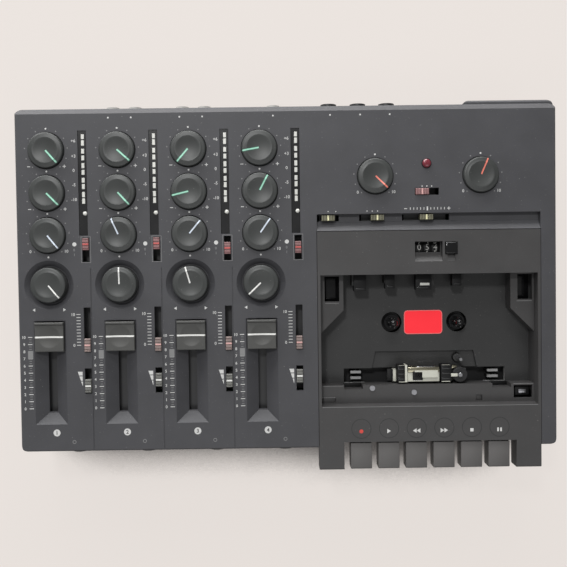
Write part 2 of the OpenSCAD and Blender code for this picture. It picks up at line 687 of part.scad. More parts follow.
module key(i) color(dark_grey) difference() {
    union() {
        along_x(key_x(i) - key_w / 2, key_x(i) + key_w / 2, [[arm_y, key_top - key_h],
            [arm_y, key_top - 1], [arm_y + 1, key_top], [key_y, key_top], [key_y, key_top - key_h]]);
        block([key_x(i) - lever_w / 2, key_y - 3, pivot_z - lever_drop],
            [key_x(i) + lever_w / 2, pivot_y, pivot_z + lever_rise]);
        block([key_x(i) - lever_w / 2, key_y - 3, pivot_z - lever_drop],
            [key_x(i) + lever_w / 2, key_y - 0.6, key_top - key_h + 1]);
        rod_x(key_x(i) - hub_l / 2, pivot_y, pivot_z, hub_l, hub_r);
    }
    rod_x(key_x(i) - hub_l, pivot_y, pivot_z, 2 * hub_l, pivot_d / 2 + key_fit);
}

module deck_plate() color(dark_grey) difference() {
    block([cover_x0, well_front - front_block, well_z - deck_t], [cover_x1, door_rear + rim, well_z]);
    for (side = [-1, 1]) post(deck_x + side * hub_spacing / 2, hub_y, 0, well_z + 1, hub_hole_d / 2);
    block([deck_x - opening_w / 2, well_front, 0], [deck_x + opening_w / 2, opening_rear, well_z + 1]);
    // the shallow recess that the heads move over
    translate([0, 0, well_z - recess_deep]) linear_extrude(recess_deep + 1)
        polygon([[deck_x - recess_front_w / 2, opening_rear - 1],
            [deck_x - recess_rear_w / 2, opening_rear + recess_l],
            [deck_x + recess_rear_w / 2, opening_rear + recess_l],
            [deck_x + recess_front_w / 2, opening_rear - 1]]);
    post(capstan_x, capstan_y, 0, well_z, sleeve_r + 0.4);
}

module tape_deck() {
    deck_plate();
    color(steel) difference() {
        block([chassis_x0, chassis_y0, chassis_z], [chassis_x1, chassis_y1, chassis_top]);
        for (side = [-1, 1]) post(deck_x + side * hub_spacing / 2, hub_y, 0, case_h, 1.5 + run_fit);
        post(capstan_x, capstan_y, 0, case_h, sleeve_r + seat);
        post(motor_x, motor_y, 0, case_h, 2);
    }
    // pillars under the deck plate
    color(steel) for (x = [chassis_x0 + pillar_in, chassis_x1 - pillar_in], y = [well_front + 2, door_rear - 5])
        post(x, y, chassis_top + seat, well_z - deck_t - seat, 3);
    color(steel) difference() {
        post(capstan_x, capstan_y, chassis_z, well_z + 1, sleeve_r);
        post(capstan_x, capstan_y, 0, case_h, capstan_d / 2 + run_fit);
    }
    // the motor, its pulley and the drive belt
    color(steel) union() {
        post(motor_x, motor_y, chassis_top + seat, chassis_top + motor_h, motor_d / 2);
        post(motor_x, motor_y, flywheel_z, chassis_top + seat + over, 1);
        post(motor_x, motor_y, flywheel_z + 0.5, flywheel_z + 5.5, pulley_r);
    }
    color(black) difference() {
        translate([0, 0, flywheel_z + 1.5]) linear_extrude(3)
            polygon(belt_line([motor_x, motor_y], pulley_r + belt_gap + belt_t,
                [capstan_x, capstan_y], flywheel_d / 2 + belt_gap + belt_t));
        translate([0, 0, flywheel_z + 1]) linear_extrude(4)
            polygon(belt_line([motor_x, motor_y], pulley_r + belt_gap, [capstan_x, capstan_y],
                flywheel_d / 2 + belt_gap));
    }
    // the shaft that the keys turn on, with its spacers and end brackets
    color(steel) union() {
        near = hub_l / 2 + 0.2;
        rod_x(key_x(0) - near - 5, pivot_y, pivot_z, 5 * key_pitch + 2 * near + 10, pivot_d / 2);
        for (i = [-1:5]) {
            x0 = i < 0 ? key_x(0) - near - 3.3 : key_x(i) + near;
            x1 = i < 0 ? key_x(0) - near : (i > 4 ? key_x(5) + near + 3.3 : key_x(i + 1) - near);
            rod_x(x0, pivot_y, pivot_z, x1 - x0, collar_r);
        }
        for (side = [-1, 1]) translate([deck_x + side * (2.5 * key_pitch + near + 4.1), 0, 0])
            block([-1, pivot_y - 4.5, chassis_top + seat], [1, pivot_y + 4.5, pivot_z + 3]);
    }
    // sensors and springs along the well's rear edge
    color(black) for (s = [[-43.5, 8.9, 7], [-24, 6.3, 5.6], [-0.6, 10.4, 7.6], [20.9, 5.6, 5.4]])
        block([deck_x + s[0] - s[1] / 2, door_rear - s[2], well_z + seat],
            [deck_x + s[0] + s[1] / 2, door_rear - seat, door_z - 1]);
    // small levers in the head opening
    color(steel) for (side = [-1, 1], y = [opening_rear - 2.6, opening_rear - 6.4])
        translate([deck_x + side * (opening_w / 2 - 7.9), y, 0])
            block([-3.4, -0.8, chassis_top + seat], [3.4, 0.8, well_z - 1]);
}

module spindle(side) color(cream) {
    x = deck_x + side * hub_spacing / 2;
    translate([x, hub_y, 0]) {
        post(0, 0, chassis_z + 0.2, reel_z + over, 1.5);
        post(0, 0, reel_z, reel_z + 3, reel_r);
        post(0, 0, reel_z + 3 - over, well_z + 1, hub_hole_d / 2 - 1.5);
        post(0, 0, well_z, spindle_top - 2, spindle_d / 2 - 1);
        translate([0, 0, spindle_top - 2 - over]) cylinder(h = 2, r1 = spindle_d / 2 - 1, r2 = 1);
        for (a = [0:60:120]) rotate([0, 0, a])
            block([-spindle_d / 2, -0.5, well_z], [spindle_d / 2, 0.5, spindle_top - 2.5]);
    }
}

module capstan() color(steel) {
    post(capstan_x, capstan_y, flywheel_z - 1, spindle_top, capstan_d / 2);
    post(capstan_x, capstan_y, flywheel_z, flywheel_z + flywheel_h, flywheel_d / 2);
}

module head_carriage() {
    color(cream) union() {
        block([carriage_x0, carriage_front, carriage_z], [carriage_x1, carriage_rear, carriage_top]);
        // the feet that run on the chassis
        for (x = [carriage_x0 + 3.5, carriage_x1 - 11.9])
            block([x - 2.5, carriage_front + 0.5, chassis_top + 0.3],
                [x + 2.5, carriage_rear - 4, carriage_z + over]);
        for (x = fin_x)
            block([x - 1.3, carriage_front, carriage_top - over], [x + 1.3, carriage_rear, carriage_top + 3]);
    }
    color(cream) post(capstan_x, roller_y, carriage_top - over, carriage_top + 9.4, roller_pin_r);
    color(steel) block([head_x0, carriage_rear - 4.6, carriage_top], [head_x1, carriage_rear, door_z - 1]);
    color(black) for (x = guide_x)
        block([x - guide_w / 2, carriage_front, carriage_top],
            [x + guide_w / 2, carriage_rear + 3.4, door_z - 2]);
    color(black)
        block([head_x0 + 1, carriage_front, carriage_top], [head_x0 + 7, carriage_rear - 5, carriage_top + 4]);
}

module pinch_roller() color(black) difference() {
    post(capstan_x, roller_y, carriage_top + 0.4, carriage_top + 8.4, roller_r);
    post(capstan_x, roller_y, 0, case_h, roller_pin_r + run_fit);
}

module counter_wheels() color(black) translate([counter_x, counter_y - window_y, wheel_z]) {
    rod_x(-counter_w / 2 - 0.8, 0, 0, counter_w + 1.6, counter_shaft_r);
    for (i = [-1:1]) rod_x((i - 0.5) * wheel_l + 0.15, 0, 0, wheel_l - 0.3, wheel_r);
}

module reset_button() color(black) union() {
    along_x(reset_x - reset_w / 2, reset_x + reset_w / 2, [[reset_y - 3.8, reset_z],
        [reset_y - 3.8, case_h + 0.8], [reset_y - 3, case_h + 1.5], [reset_y + 3, case_h + 1.5],
        [reset_y + 3.8, case_h + 0.8], [reset_y + 3.8, reset_z]]);
    // the flange that stops it under its sleeve
    block([reset_x - reset_w / 2 - 0.6, reset_y - 4.8, reset_z],
        [reset_x + reset_w / 2 + 0.6, reset_y + 4.8, reset_z + 0.8]);
}

module knob(x, y, turn) color(dark_grey) {
    dish_ball = (knob_dish_r * knob_dish_r + knob_dish_deep * knob_dish_deep) / (2 * knob_dish_deep);
    translate([x, y, case_h]) rotate([0, 0, -turn]) difference() {
        union() {
            translate([0, 0, -knob_sink]) cylinder(h = knob_sink + knob_rise - 0.8, d = knob_d);
            translate([0, 0, knob_rise - 0.8 - over]) cylinder(h = 0.8 + over, d1 = knob_d, d2 = knob_d - 1.4);
            post(0, 0, board_z + pot_h + stem_gap - case_h, -knob_sink + over, shaft_d / 2);
        }
        translate([0, 0, knob_rise + dish_ball - knob_dish_deep]) sphere(dish_ball, $fn = 96);
        block([-0.6, -over, knob_rise - 0.3], [0.6, knob_d / 2 - 0.3, knob_rise + 1]);
    }
}

// The cap of a small slider: a block on a stem, with ribs across its longer side
module small_cap(x, y, size, top, bottom) {
    translate([x, y, 0]) {
        difference() {
            block([-size[0] / 2, -size[1] / 2, bottom], [size[0] / 2, size[1] / 2, top]);
            if (size[1] > size[0]) for (i = [-1.5:1:1.5])
                block([-size[0], i * 1.9 - 0.3, top - 0.5], [size[0], i * 1.9 + 0.3, top + 1]);
            else for (i = [-1.5:1:1.5])
                block([i * 1.9 - 0.3, -size[1], top - 0.5], [i * 1.9 + 0.3, size[1], top + 1]);
        }
        block([-1.2, -1.2, small_pot_top + stem_gap], [1.2, 1.2, bottom + over]);
    }
}
module panel_cap(x, y, length) color(dark_grey)
    small_cap(x, y, [cap_w, length], case_h + cap_rise, under_panel + 0.3);
module groove_cap(x) color(dark_grey)
    small_cap(x, switch_y, [cap_l, groove_cap_w], case_h - 0.5, groove_z - 1.7);

module monitor_select() color(dark_grey)
    small_cap(select_x - select_step, select_y, [cap_l, cap_w], case_h + cap_rise, under_panel + 0.3);

module fader(n) color(dark_grey) translate([ch_x(n), fader_y, case_h]) {
    half = fader_w / 2;
    rear = fader_l / 2;
    slope = (trough_w - trough_floor_w) / 2 / trough_deep;
    side_z = (half + keel_side - trough_w / 2) / slope;
    keel_z = -trough_deep + keel_gap;
    keel_w = half - slope * (side_z - keel_z);
    ball = (fader_dish_d * fader_dish_d / 4 + 1) / 2;
    difference() {
        intersection() {
            along_y(-rear - 1, rear + 1, [[-half, fader_rise + 1], [-half, side_z], [-keel_w, keel_z],
                [keel_w, keel_z], [half, side_z], [half, fader_rise + 1]]);
            along_x(-half - 1, half + 1, [[-rear, fader_rise - 0.8], [-rear, 0], [-keel_front, keel_z],
                [rear, keel_z], [rear, fader_rise], [rear - 1.2, fader_rise], [rear - 1.8, fader_rise - 0.8]]);
        }
        translate([0, 0, fader_rise - 0.8 - 1 + ball]) sphere(ball, $fn = 96);
    }
    block([-1.5, -2.5, fader_pot_top + stem_gap - case_h], [1.5, 2.5, keel_z + over]);
}

module pot(x, y) {
    color(steel)
        block([x - pot_w / 2, y - pot_w / 2, board_z + seat], [x + pot_w / 2, y + pot_w / 2, board_z + pot_h]);
}
// A slide pot or switch body under a slot, by its middle and its length
module slide_body(x, y, sx, sy, top)
    color(steel) block([x - sx / 2, y - sy / 2, board_z + seat], [x + sx / 2, y + sy / 2, top]);
// A phone jack: side is 1 for the rear wall and -1 for the front wall
module phone_jack(x, z, face, side, low) color(black) difference() {
    union() {
        translate([x, face, 0])
            block([-jack_body_w / 2, side > 0 ? -wall - 0.2 - jack_body_l : wall + 0.2, low],
                [jack_body_w / 2, side > 0 ? -wall - 0.2 : wall + 0.2 + jack_body_l, z + jack_body_w / 2]);
        rod_y(x, side > 0 ? face - wall - 1 : face - jack_out, z, jack_out + wall + 1, jack_collar_r);
    }
    rod_y(x, face - jack_mouth, z, 2 * jack_mouth, jack_bore_r);
    rod_y(x, side > 0 ? face - jack_deep : face, z, jack_deep, jack_free_r);
}
module rca_jack(x) color(steel) difference() {
    union() {
        block([x - 5, rear_in - 0.2 - 9, board_z + seat], [x + 5, rear_in - 0.2, jack_z + 4.5]);
        rod_y(x, rear_in - 1, jack_z, wall + 1 + over, rca_r - 0.4);
        rod_y(x, rear_y, jack_z, rca_out, rca_r);
    }
    rod_y(x, rear_y - 5, jack_z, 5 + rca_out + 1, 1.6);
}

module main_board() {
    // the channels' board and the master section's board, with a gap between them
    part_x = cover_x0 - 4;
    color([0.1, 0.35, 0.2]) for (b = [[ch_x(0) - 9, part_x, front_in + 1.5],
        [part_x + 0.6, strip_x - strip_post_r - 2, groove_front + 3]]) difference() {
        block([b[0], b[2], board_z - board_t], [b[1], rear_in - 1.5, board_z]);
        for (p = board_posts) post(p[0], p[1], 0, board_z + 1, screw_r + 0.1);
        for (p = case_posts) post(p[0], p[1], 0, board_z + 1, p[2] + 1);
    }
    for (n = channels) {
        for (y = [high_y, low_y, aux_y, pan_y]) pot(ch_x(n), y);
        slide_body(ch_x(n), fader_y - fader_travel / 2, 9, fader_travel + 16, fader_pot_top);
        slide_body(slot_x(n), rec_y, 7, rec_travel + 7, small_pot_top);
        slide_body(slot_x(n), cue_y + cue_travel / 2, 7, cue_travel + 8, small_pot_top);
        slide_body(slot_x(n), gain_y + gain_travel / 2, 7, gain_travel + 8, small_pot_top);
        phone_jack(ch_x(n) + front_jack_dx, jack_z, front_y, -1, board_z + seat);
    }
    pot(return_x, master_y);
    pot(monitor_x, master_y);
    slide_body(select_x, select_y, select_travel + 8, 7, small_pot_top);
    for (s = [[zero_x, zero_travel], [noise_x, noise_travel], [pitch_x, pitch_travel]])
        slide_body(s[0], switch_y, s[1] + 6, 7, small_pot_top);
    for (x = rca_x) rca_jack(x);
    for (x = phone_x) phone_jack(x, jack_z, rear_y, 1, board_z + seat);
    phone_jack(phones_x, phones_z, front_y, -1, floor_z);
    // the power inlet with its centre pin, and the power switch's body
    color(black) difference() {
        union() {
            block([inlet_x - 5.5, rear_in - 0.2 - inlet_l, board_z + seat],
                [inlet_x + 5.5, rear_in - 0.2, jack_z + 5]);
            rod_y(inlet_x, rear_in - 1, jack_z, wall + 1, inlet_r);
        }
        rod_y(inlet_x, rear_y - 9, jack_z, 10, inlet_bore_r);
    }
    color(steel) rod_y(inlet_x, rear_y - 9, jack_z, 8.5, inlet_pin_r);
    color(black)
        block([power_x - 5, rear_in - 5 - power_l, board_z + seat], [power_x + 5, rear_in - 5, jack_z + 5]);
}

module level_meters() {
    for (n = channels) {
        x = ch_x(n) + meter_dx;
        color(black) difference() {
            union() {
                block([x - meter_w / 2 + 0.2, meter_front + 0.2, case_h - 8],
                    [x + meter_w / 2 - 0.2, meter_rear - 0.2, case_h - 0.3]);
                block([x - 1.5, meter_front + 6, board_z + seat], [x + 1.5, meter_rear - 6, case_h - 8 + over]);
            }
            post(x + 0.9, meter_front + 13.7, case_h - 6, case_h, 1.45);
        }
        color([0.5, 0.08, 0.08]) post(x + 0.9, meter_front + 13.7, case_h - 6, case_h, 1.35);
    }
    color([0.6, 0.1, 0.1]) union() {
        post(lamp_x, lamp_y, under_panel - 2, case_h + 0.6, lamp_d / 2);
        post(lamp_x, lamp_y, board_z + seat, under_panel - 2 + over, 2);
        intersection() {
            post(lamp_x, lamp_y, case_h, case_h + 4, lamp_d / 2);
            translate([lamp_x, lamp_y, case_h + 1.6 - lamp_d * 0.75]) sphere(lamp_d * 0.75);
        }
    }
}

module power_switch() color(black) union() {
    block([power_x - power_w / 2, rear_in - 1.2, jack_z - power_w / 2],
        [power_x + power_w / 2, rear_y + power_out, jack_z + power_w / 2]);
    // the flange that stops it behind the wall
    block([power_x - power_w / 2 - 1, rear_in - 1.2, jack_z - power_w / 2 - 1],
        [power_x + power_w / 2 + 1, rear_in - 0.2, jack_z + power_w / 2 + 1]);
}

module rubber_feet() color(black)
    for (x = [-side_x + 22, side_x - 22], y = [front_y + 22, rear_y - 22])
        translate([x, y, 0]) cylinder(h = foot_h, d = foot_d);

// A screw that points up, with the underside of its head at z
module screw(x, y, z, length) {
    post(x, y, z - screw_head_h, z, screw_head_r);
    post(x, y, z - over, z + length, screw_r);
}
module screws() color(steel) {
    for (p = case_posts) screw(p[0], p[1], floor_z + 0.6, split_z - floor_z + 10);
    for (p = board_posts) screw(p[0], p[1], board_z - board_t, board_t + 6);
    // the two screws in the front shelf of the tape section
    for (p = [[-35.6, -1.9], [-8.8, -4.9]])
        post(deck_x + p[0], well_front + p[1], door_z, door_z + 1, 1.7);
}

placed() top_case();
placed() bottom_case();
placed() tape_cover();
placed() tape_deck();
placed() main_board();
placed() level_meters();
placed() rubber_feet();
placed() screws();
placed() knob(return_x, master_y, return_set);  // aux_return_knob
placed() knob(monitor_x, master_y, monitor_set);  // monitor_knob
placed() monitor_select();
placed() groove_cap(zero_x);  // zero_stop_switch
placed() groove_cap(noise_x + noise_travel / 2);  // noise_switch
placed() groove_cap(pitch_x);  // pitch_slider
placed() power_switch();
placed() reset_button();
placed() counter_wheels();
placed() spindle(-1);  // supply_spindle
placed() spindle(1);  // takeup_spindle
placed() capstan();
placed() pinch_roller();
placed() head_carriage();
for (i = [0:5]) placed() key(i);
for (n = channels) {
    placed() knob(ch_x(n), high_y, high_set[n]);
    placed() knob(ch_x(n), low_y, low_set[n]);
    placed() knob(ch_x(n), aux_y, aux_set[n]);
    placed() knob(ch_x(n), pan_y, pan_set[n]);
    placed() fader(n);
    placed() panel_cap(slot_x(n), cue_y, cap_l);
    placed() panel_cap(slot_x(n), gain_y + gain_set[n], cap_l);
    placed() panel_cap(slot_x(n), rec_y + rec_set[n] * rec_step, rec_cap_l);
}
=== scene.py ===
# %% [markdown]
# # A four track cassette recorder
#
# The object is a table top mixer with a cassette deck in its right half. Its solid parts were designed
# beforehand and packed as a frame of named bodies that already move on their joints. This lesson dresses that
# frame: it gives each solid a finish, models the small parts that the eye stops at, and prints the scales.
#
# All lengths are in metres in Blender. The recorder is easier to think of in millimetres, so the places
# below are written in millimetres, measured from the middle of the mixer's panel.

# %% Load the frame
import math

import bmesh
import bpy
from mathutils import Matrix, Vector


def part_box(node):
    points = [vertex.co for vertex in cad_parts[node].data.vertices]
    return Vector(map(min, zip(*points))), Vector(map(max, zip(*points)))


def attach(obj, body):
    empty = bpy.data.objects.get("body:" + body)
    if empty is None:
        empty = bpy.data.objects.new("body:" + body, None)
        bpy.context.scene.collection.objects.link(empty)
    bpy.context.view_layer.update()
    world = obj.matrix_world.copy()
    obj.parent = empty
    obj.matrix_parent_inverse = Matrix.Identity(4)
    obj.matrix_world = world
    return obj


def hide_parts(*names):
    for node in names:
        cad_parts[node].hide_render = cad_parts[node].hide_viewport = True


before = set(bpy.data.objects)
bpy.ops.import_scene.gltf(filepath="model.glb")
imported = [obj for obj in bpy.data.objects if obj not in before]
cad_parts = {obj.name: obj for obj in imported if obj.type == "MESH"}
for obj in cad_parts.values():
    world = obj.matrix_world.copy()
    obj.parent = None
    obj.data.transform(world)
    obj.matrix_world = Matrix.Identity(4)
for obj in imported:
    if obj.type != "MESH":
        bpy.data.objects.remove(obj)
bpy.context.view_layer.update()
scene = bpy.context.scene
bpy.ops.object.select_all(action="DESELECT")

# %% [markdown]
# ## Places
#
# The frame's origin lies under the middle of the whole object, and the keys stick out in front, so the
# panel's own middle is 3.4 mm further back. One function turns a place on the panel into a point in Blender,
# and heights are measured from the table.

# %% From panel millimetres to Blender metres
MM = 0.001
PANEL_SHIFT = 3.4
PANEL_TOP = 58.0
CHANNEL_1 = -149.8
CHANNEL_STEP = 44.38
DECK_X = 89.1
DOOR_FLOOR = 50.0


def place(x, y, z):
    return Vector((x, y + PANEL_SHIFT, z)) * MM


def channel_x(channel):
    return CHANNEL_1 + (channel - 1) * CHANNEL_STEP


# %% [markdown]
# ## Hand tools
#
# Modelling by operators always goes the same way: add a primitive, go into edit mode, choose faces or
# edges, and shape them. A few short helpers keep the later cells readable. `pick` chooses parts of a mesh
# by a test on their middle point, `soften` bevels them, `settle` ends a piece: it moves the place into the
# mesh, so that the object sits at the origin as the solids do, and lets it ride on its body.

# %% Start, pick and settle a piece
def deselect():
    bpy.ops.object.select_all(action="DESELECT")


def only(piece):
    deselect()
    piece.select_set(True)
    bpy.context.view_layer.objects.active = piece


def edit(piece):
    only(piece)
    bpy.ops.object.mode_set(mode="EDIT")


def choose_all():
    bpy.ops.mesh.select_all(action="SELECT")


def leave_edit(outward=False):
    if outward:
        choose_all()
        bpy.ops.mesh.normals_make_consistent(inside=False)
    bpy.ops.object.mode_set(mode="OBJECT")


def from_points(name, points, edges=(), faces=()):
    """A new object from points in metres, opened in edit mode with everything chosen."""
    mesh = bpy.data.meshes.new(name)
    mesh.from_pydata(points, edges, faces)
    piece = bpy.data.objects.new(name, mesh)
    scene.collection.objects.link(piece)
    edit(piece)
    choose_all()
    return piece


def pick(piece, kind, test):
    bpy.ops.mesh.select_mode(type={"verts": "VERT", "edges": "EDGE", "faces": "FACE"}[kind])
    bpy.ops.mesh.select_all(action="DESELECT")
    work = bmesh.from_edit_mesh(piece.data)
    for part in getattr(work, kind):
        middle = part.co if kind == "verts" else (
            part.calc_center_median() if kind == "faces" else (part.verts[0].co + part.verts[1].co) / 2)
        if test(middle, part):
            part.select_set(True)
    work.select_flush_mode()
    bmesh.update_edit_mesh(piece.data)


def soften(width, segments):
    """Bevels the chosen edges by a width in millimetres."""
    bpy.ops.mesh.bevel(offset=width * MM, segments=segments, affect="EDGES")


def settle(piece, body, finish, smooth=0):
    """Ends a piece; edges flatter than `smooth` degrees are shaded round."""
    only(piece)
    if smooth:
        bpy.ops.object.shade_smooth_by_angle(angle=math.radians(smooth))
    bpy.ops.object.transform_apply()
    piece.data.materials.clear()
    piece.data.materials.append(finish)
    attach(piece, body)
    return piece


def copy_of(piece, name, shift):
    twin = piece.copy()
    twin.data = piece.data.copy()
    twin.name = twin.data.name = name
    scene.collection.objects.link(twin)
    twin.data.transform(Matrix.Translation(shift * MM))
    return twin


def joined(name, pieces):
    deselect()
    for piece in pieces:
        piece.select_set(True)
    bpy.context.view_layer.objects.active = pieces[0]
    bpy.ops.object.join()
    whole = bpy.context.view_layer.objects.active
    whole.name = whole.data.name = name
    return whole


# %% Blocks, turned parts and shaped tops
def block(name, low, high, bevel=0.0):
    """A box between two corners in panel millimetres, with its edges bevelled."""
    low, high = place(*low), place(*high)
    bpy.ops.mesh.primitive_cube_add(size=1, location=(low + high) / 2)
    piece = bpy.context.object
    piece.name = piece.data.name = name
    piece.scale = high - low
    bpy.ops.object.transform_apply()
    if bevel:
        edit(piece)
        pick(piece, "edges", lambda middle, part: True)
        soften(bevel, 2)
        leave_edit()
    return piece


def cross_shaft(centre, radius, length, steps):
    """A cylinder that lies from left to right."""
    bpy.ops.mesh.primitive_cylinder_add(vertices=steps, radius=radius * MM, depth=length * MM,
                                        location=place(*centre), rotation=(0, math.pi / 2, 0))
    bpy.ops.object.transform_apply()
    return bpy.context.object


def turned(name, centre, profile, steps=48):
    """A profile of (radius, height) points in millimetres, spun about an upright axis, as on a lathe."""
    x, y = centre
    points = [place(x + r, y, z) for r, z in profile]
    piece = from_points(name, points, [(i, i + 1) for i in range(len(points) - 1)])
    bpy.ops.mesh.spin(steps=steps, angle=math.tau, center=place(x, y, 0), axis=(0, 0, 1))
    choose_all()
    bpy.ops.mesh.remove_doubles(threshold=1e-6)
    leave_edit(outward=True)
    return piece


def shaped(name, centre, size, cuts, height, bottom):
    """A block whose top follows a height function of (x, y) from its centre; height is over the table."""
    x, y = centre
    bpy.ops.mesh.primitive_grid_add(x_subdivisions=cuts[0], y_subdivisions=cuts[1], size=1)
    piece = bpy.context.object
    piece.name = piece.data.name = name
    piece.scale = (size[0] * MM, size[1] * MM, 1)
    bpy.ops.object.transform_apply(location=False, rotation=False, scale=True)
    edit(piece)
    work = bmesh.from_edit_mesh(piece.data)
    for vertex in work.verts:
        u, v = vertex.co.x / MM, vertex.co.y / MM
        vertex.co = place(x + u, y + v, height(u, v))
    bmesh.update_edit_mesh(piece.data)
    choose_all()
    bpy.ops.mesh.extrude_region_move(TRANSFORM_OT_translate={"value": (0, 0, -0.5)})
    work = bmesh.from_edit_mesh(piece.data)
    for vertex in work.verts:
        if vertex.co.z < -0.2:
            vertex.co.z = bottom * MM
    bmesh.update_edit_mesh(piece.data)
    leave_edit(outward=True)
    return piece


# %% [markdown]
# ## Finishes
#
# Moulded plastic is never one flat colour: the mould was spark eroded, so its skin has a fine grain that
# breaks up reflections, and years of dust and handling shift its tone by a few percent. The recipe below
# builds that from noise at three scales, read from Object coordinates so that it stays with the piece.

# %% A recipe for moulded plastic
def colour(red, green, blue):
    """A colour written as it shows on a screen, 0 to 255, turned into Blender's linear values."""
    linear = [((c / 255 + 0.055) / 1.055) ** 2.4 if c > 10 else c / 255 / 12.92 for c in (red, green, blue)]
    return (*linear, 1.0)


def tinted(base, factor):
    return tuple(min(1.0, part * factor) for part in base[:3]) + (1.0,)


def add(tree, kind, **values):
    """A new shader node. Its sockets get their values by name, with _ for a space."""
    node = tree.nodes.new("ShaderNode" + kind)
    for socket, value in values.items():
        node.inputs[socket.replace("_", " ")].default_value = value
    return node


def noise(tree, coordinates, scale, detail):
    texture = add(tree, "TexNoise", Scale=scale, Detail=detail, Roughness=0.6)
    tree.links.new(coordinates, texture.inputs["Vector"])
    return texture.outputs["Fac"]


def toned(tree, factor, base, low, high, positions):
    """A ramp between two shares of one colour."""
    ramp = add(tree, "ValToRGB")
    for element, share, position in zip(ramp.color_ramp.elements, (low, high), positions):
        element.position, element.color = position, tinted(base, share)
    tree.links.new(factor, ramp.inputs["Fac"])
    return ramp.outputs["Color"]


def replaced(tree, factor, before, other):
    """The colour before, or another one where the factor is 1."""
    mix = add(tree, "Mix")
    mix.data_type = "RGBA"
    mix.inputs["B"].default_value = other
    tree.links.new(factor, mix.inputs["Factor"])
    tree.links.new(before, mix.inputs["A"])
    return mix.outputs["Result"]


def begin(name, socket, value):
    """A material, its node tree, its shader with one socket set, and the Object coordinates."""
    material = bpy.data.materials.new(name)
    material.use_nodes = True
    shader = material.node_tree.nodes["Principled BSDF"]
    shader.inputs[socket].default_value = value
    return material, material.node_tree, shader, add(material.node_tree, "TexCoord").outputs["Object"]


def skin(tree, shader, tone, patches, grain, roughness, play, bump, depth):
    """Links the tone, a roughness that varies by `play` to both sides, and a relief of some depth."""
    spread = add(tree, "MapRange", To_Min=max(0.05, roughness - play), To_Max=min(1.0, roughness + play))
    relief = add(tree, "Bump", Strength=bump, Distance=depth)
    for start, end in ((tone, shader.inputs["Base Color"]), (patches, spread.inputs["Value"]),
                       (spread.outputs["Result"], shader.inputs["Roughness"]),
                       (grain, relief.inputs["Height"]), (relief.outputs["Normal"], shader.inputs["Normal"])):
        tree.links.new(start, end)


def plastic(name, base, roughness=0.5, grain=2600.0, bump=0.12, mottle=0.10, dust=0.0, specular=0.5):
    material, tree, shader, where = begin(name, "Specular IOR Level", specular)
    patches = noise(tree, where, 45.0, 4.0)
    tone = toned(tree, patches, colour(*base), 1.0 - mottle, 1.0 + mottle, (0.30, 0.72))
    if dust:
        # single specks of dust: the bright ends of a fine noise
        limit = add(tree, "MapRange", From_Min=0.70, From_Max=0.78, To_Max=dust)
        tree.links.new(noise(tree, where, 900.0, 2.0), limit.inputs["Value"])
        tone = replaced(tree, limit.outputs["Result"], tone, colour(176, 174, 170))
    skin(tree, shader, tone, patches, noise(tree, where, grain, 2.0), roughness, 0.07, bump, 0.00015)
    return material


def metal(name, base, roughness=0.3, bump=0.05):
    """Rolled or turned metal: a noise stretched along one direction gives the brushed lines."""
    material, tree, shader, where = begin(name, "Metallic", 1.0)
    stretch = add(tree, "Mapping", Scale=(60.0, 4000.0, 60.0))
    tree.links.new(where, stretch.inputs["Vector"])
    lines = noise(tree, stretch.outputs["Vector"], 1.0, 3.0)
    tone = toned(tree, lines, colour(*base), 0.80, 1.08, (0.0, 1.0))
    skin(tree, shader, tone, lines, lines, roughness, 0.08, bump, 0.0001)
    return material


# %% The recorder's finishes
panel_plastic = plastic("panel plastic", (68, 68, 71), 0.55, dust=0.35, specular=0.42)
base_plastic = plastic("base plastic", (66, 66, 70), 0.6, dust=0.2)
cover_plastic = plastic("tape cover plastic", (62, 61, 61), 0.52, dust=0.35)
deck_paint = plastic("painted deck plate", (47, 47, 47), 0.55, grain=3400.0, bump=0.08, dust=0.4)
knob_plastic = plastic("knob plastic", (58, 60, 59), 0.42, grain=3800.0, bump=0.05, mottle=0.06, dust=0.25)
fader_plastic = plastic("fader plastic", (72, 72, 70), 0.52, grain=3800.0, bump=0.05, dust=0.2)
key_plastic = plastic("key plastic", (92, 90, 89), 0.55, grain=3000.0, bump=0.10, mottle=0.05)
black_plastic = plastic("black plastic", (14, 14, 15), 0.5, mottle=0.2, specular=0.3)
gloss_plastic = plastic("glossy black plastic", (20, 20, 21), 0.12, bump=0.02, mottle=0.2)
grey_cap = plastic("grey slider plastic", (112, 112, 108), 0.45)
red_cap = plastic("reddish slider plastic", (140, 104, 104), 0.45)
pink_cap = plastic("warm grey slider plastic", (136, 120, 116), 0.45)
yellow_cap = plastic("yellowish slider plastic", (112, 110, 92), 0.45)
cream_plastic = plastic("cream nylon", (200, 200, 188), 0.45, bump=0.05, mottle=0.08)
smoke_plastic = plastic("smoked window", (28, 28, 29), 0.25, bump=0.02)
rubber = plastic("rubber", (34, 34, 35), 0.8, grain=1500.0, bump=0.25, mottle=0.15)
board_green = plastic("circuit board", (28, 84, 52), 0.45, grain=500.0, bump=0.2, mottle=0.2)

ABOVE, BELOW = "GREATER_THAN", "LESS_THAN"


def split_finish(material, tests, other):
    """Where every test holds, the material's base colour is replaced. A test is (axis, side, limit in mm)."""
    tree = material.node_tree
    base = tree.nodes["Principled BSDF"].inputs["Base Color"]
    axes = add(tree, "SeparateXYZ")
    tree.links.new(add(tree, "TexCoord").outputs["Object"], axes.inputs[0])
    factor = None
    for axis, side, limit in tests:
        test = add(tree, "Math")
        test.operation = side
        test.inputs[1].default_value = limit * MM
        tree.links.new(axes.outputs[axis], test.inputs[0])
        if factor is not None:
            both = add(tree, "Math")
            both.operation = "MULTIPLY"
            tree.links.new(factor, both.inputs[0])
            tree.links.new(test.outputs[0], both.inputs[1])
            test = both
        factor = test.outputs[0]
    tree.links.new(replaced(tree, factor, base.links[0].from_socket, colour(*other)), base)


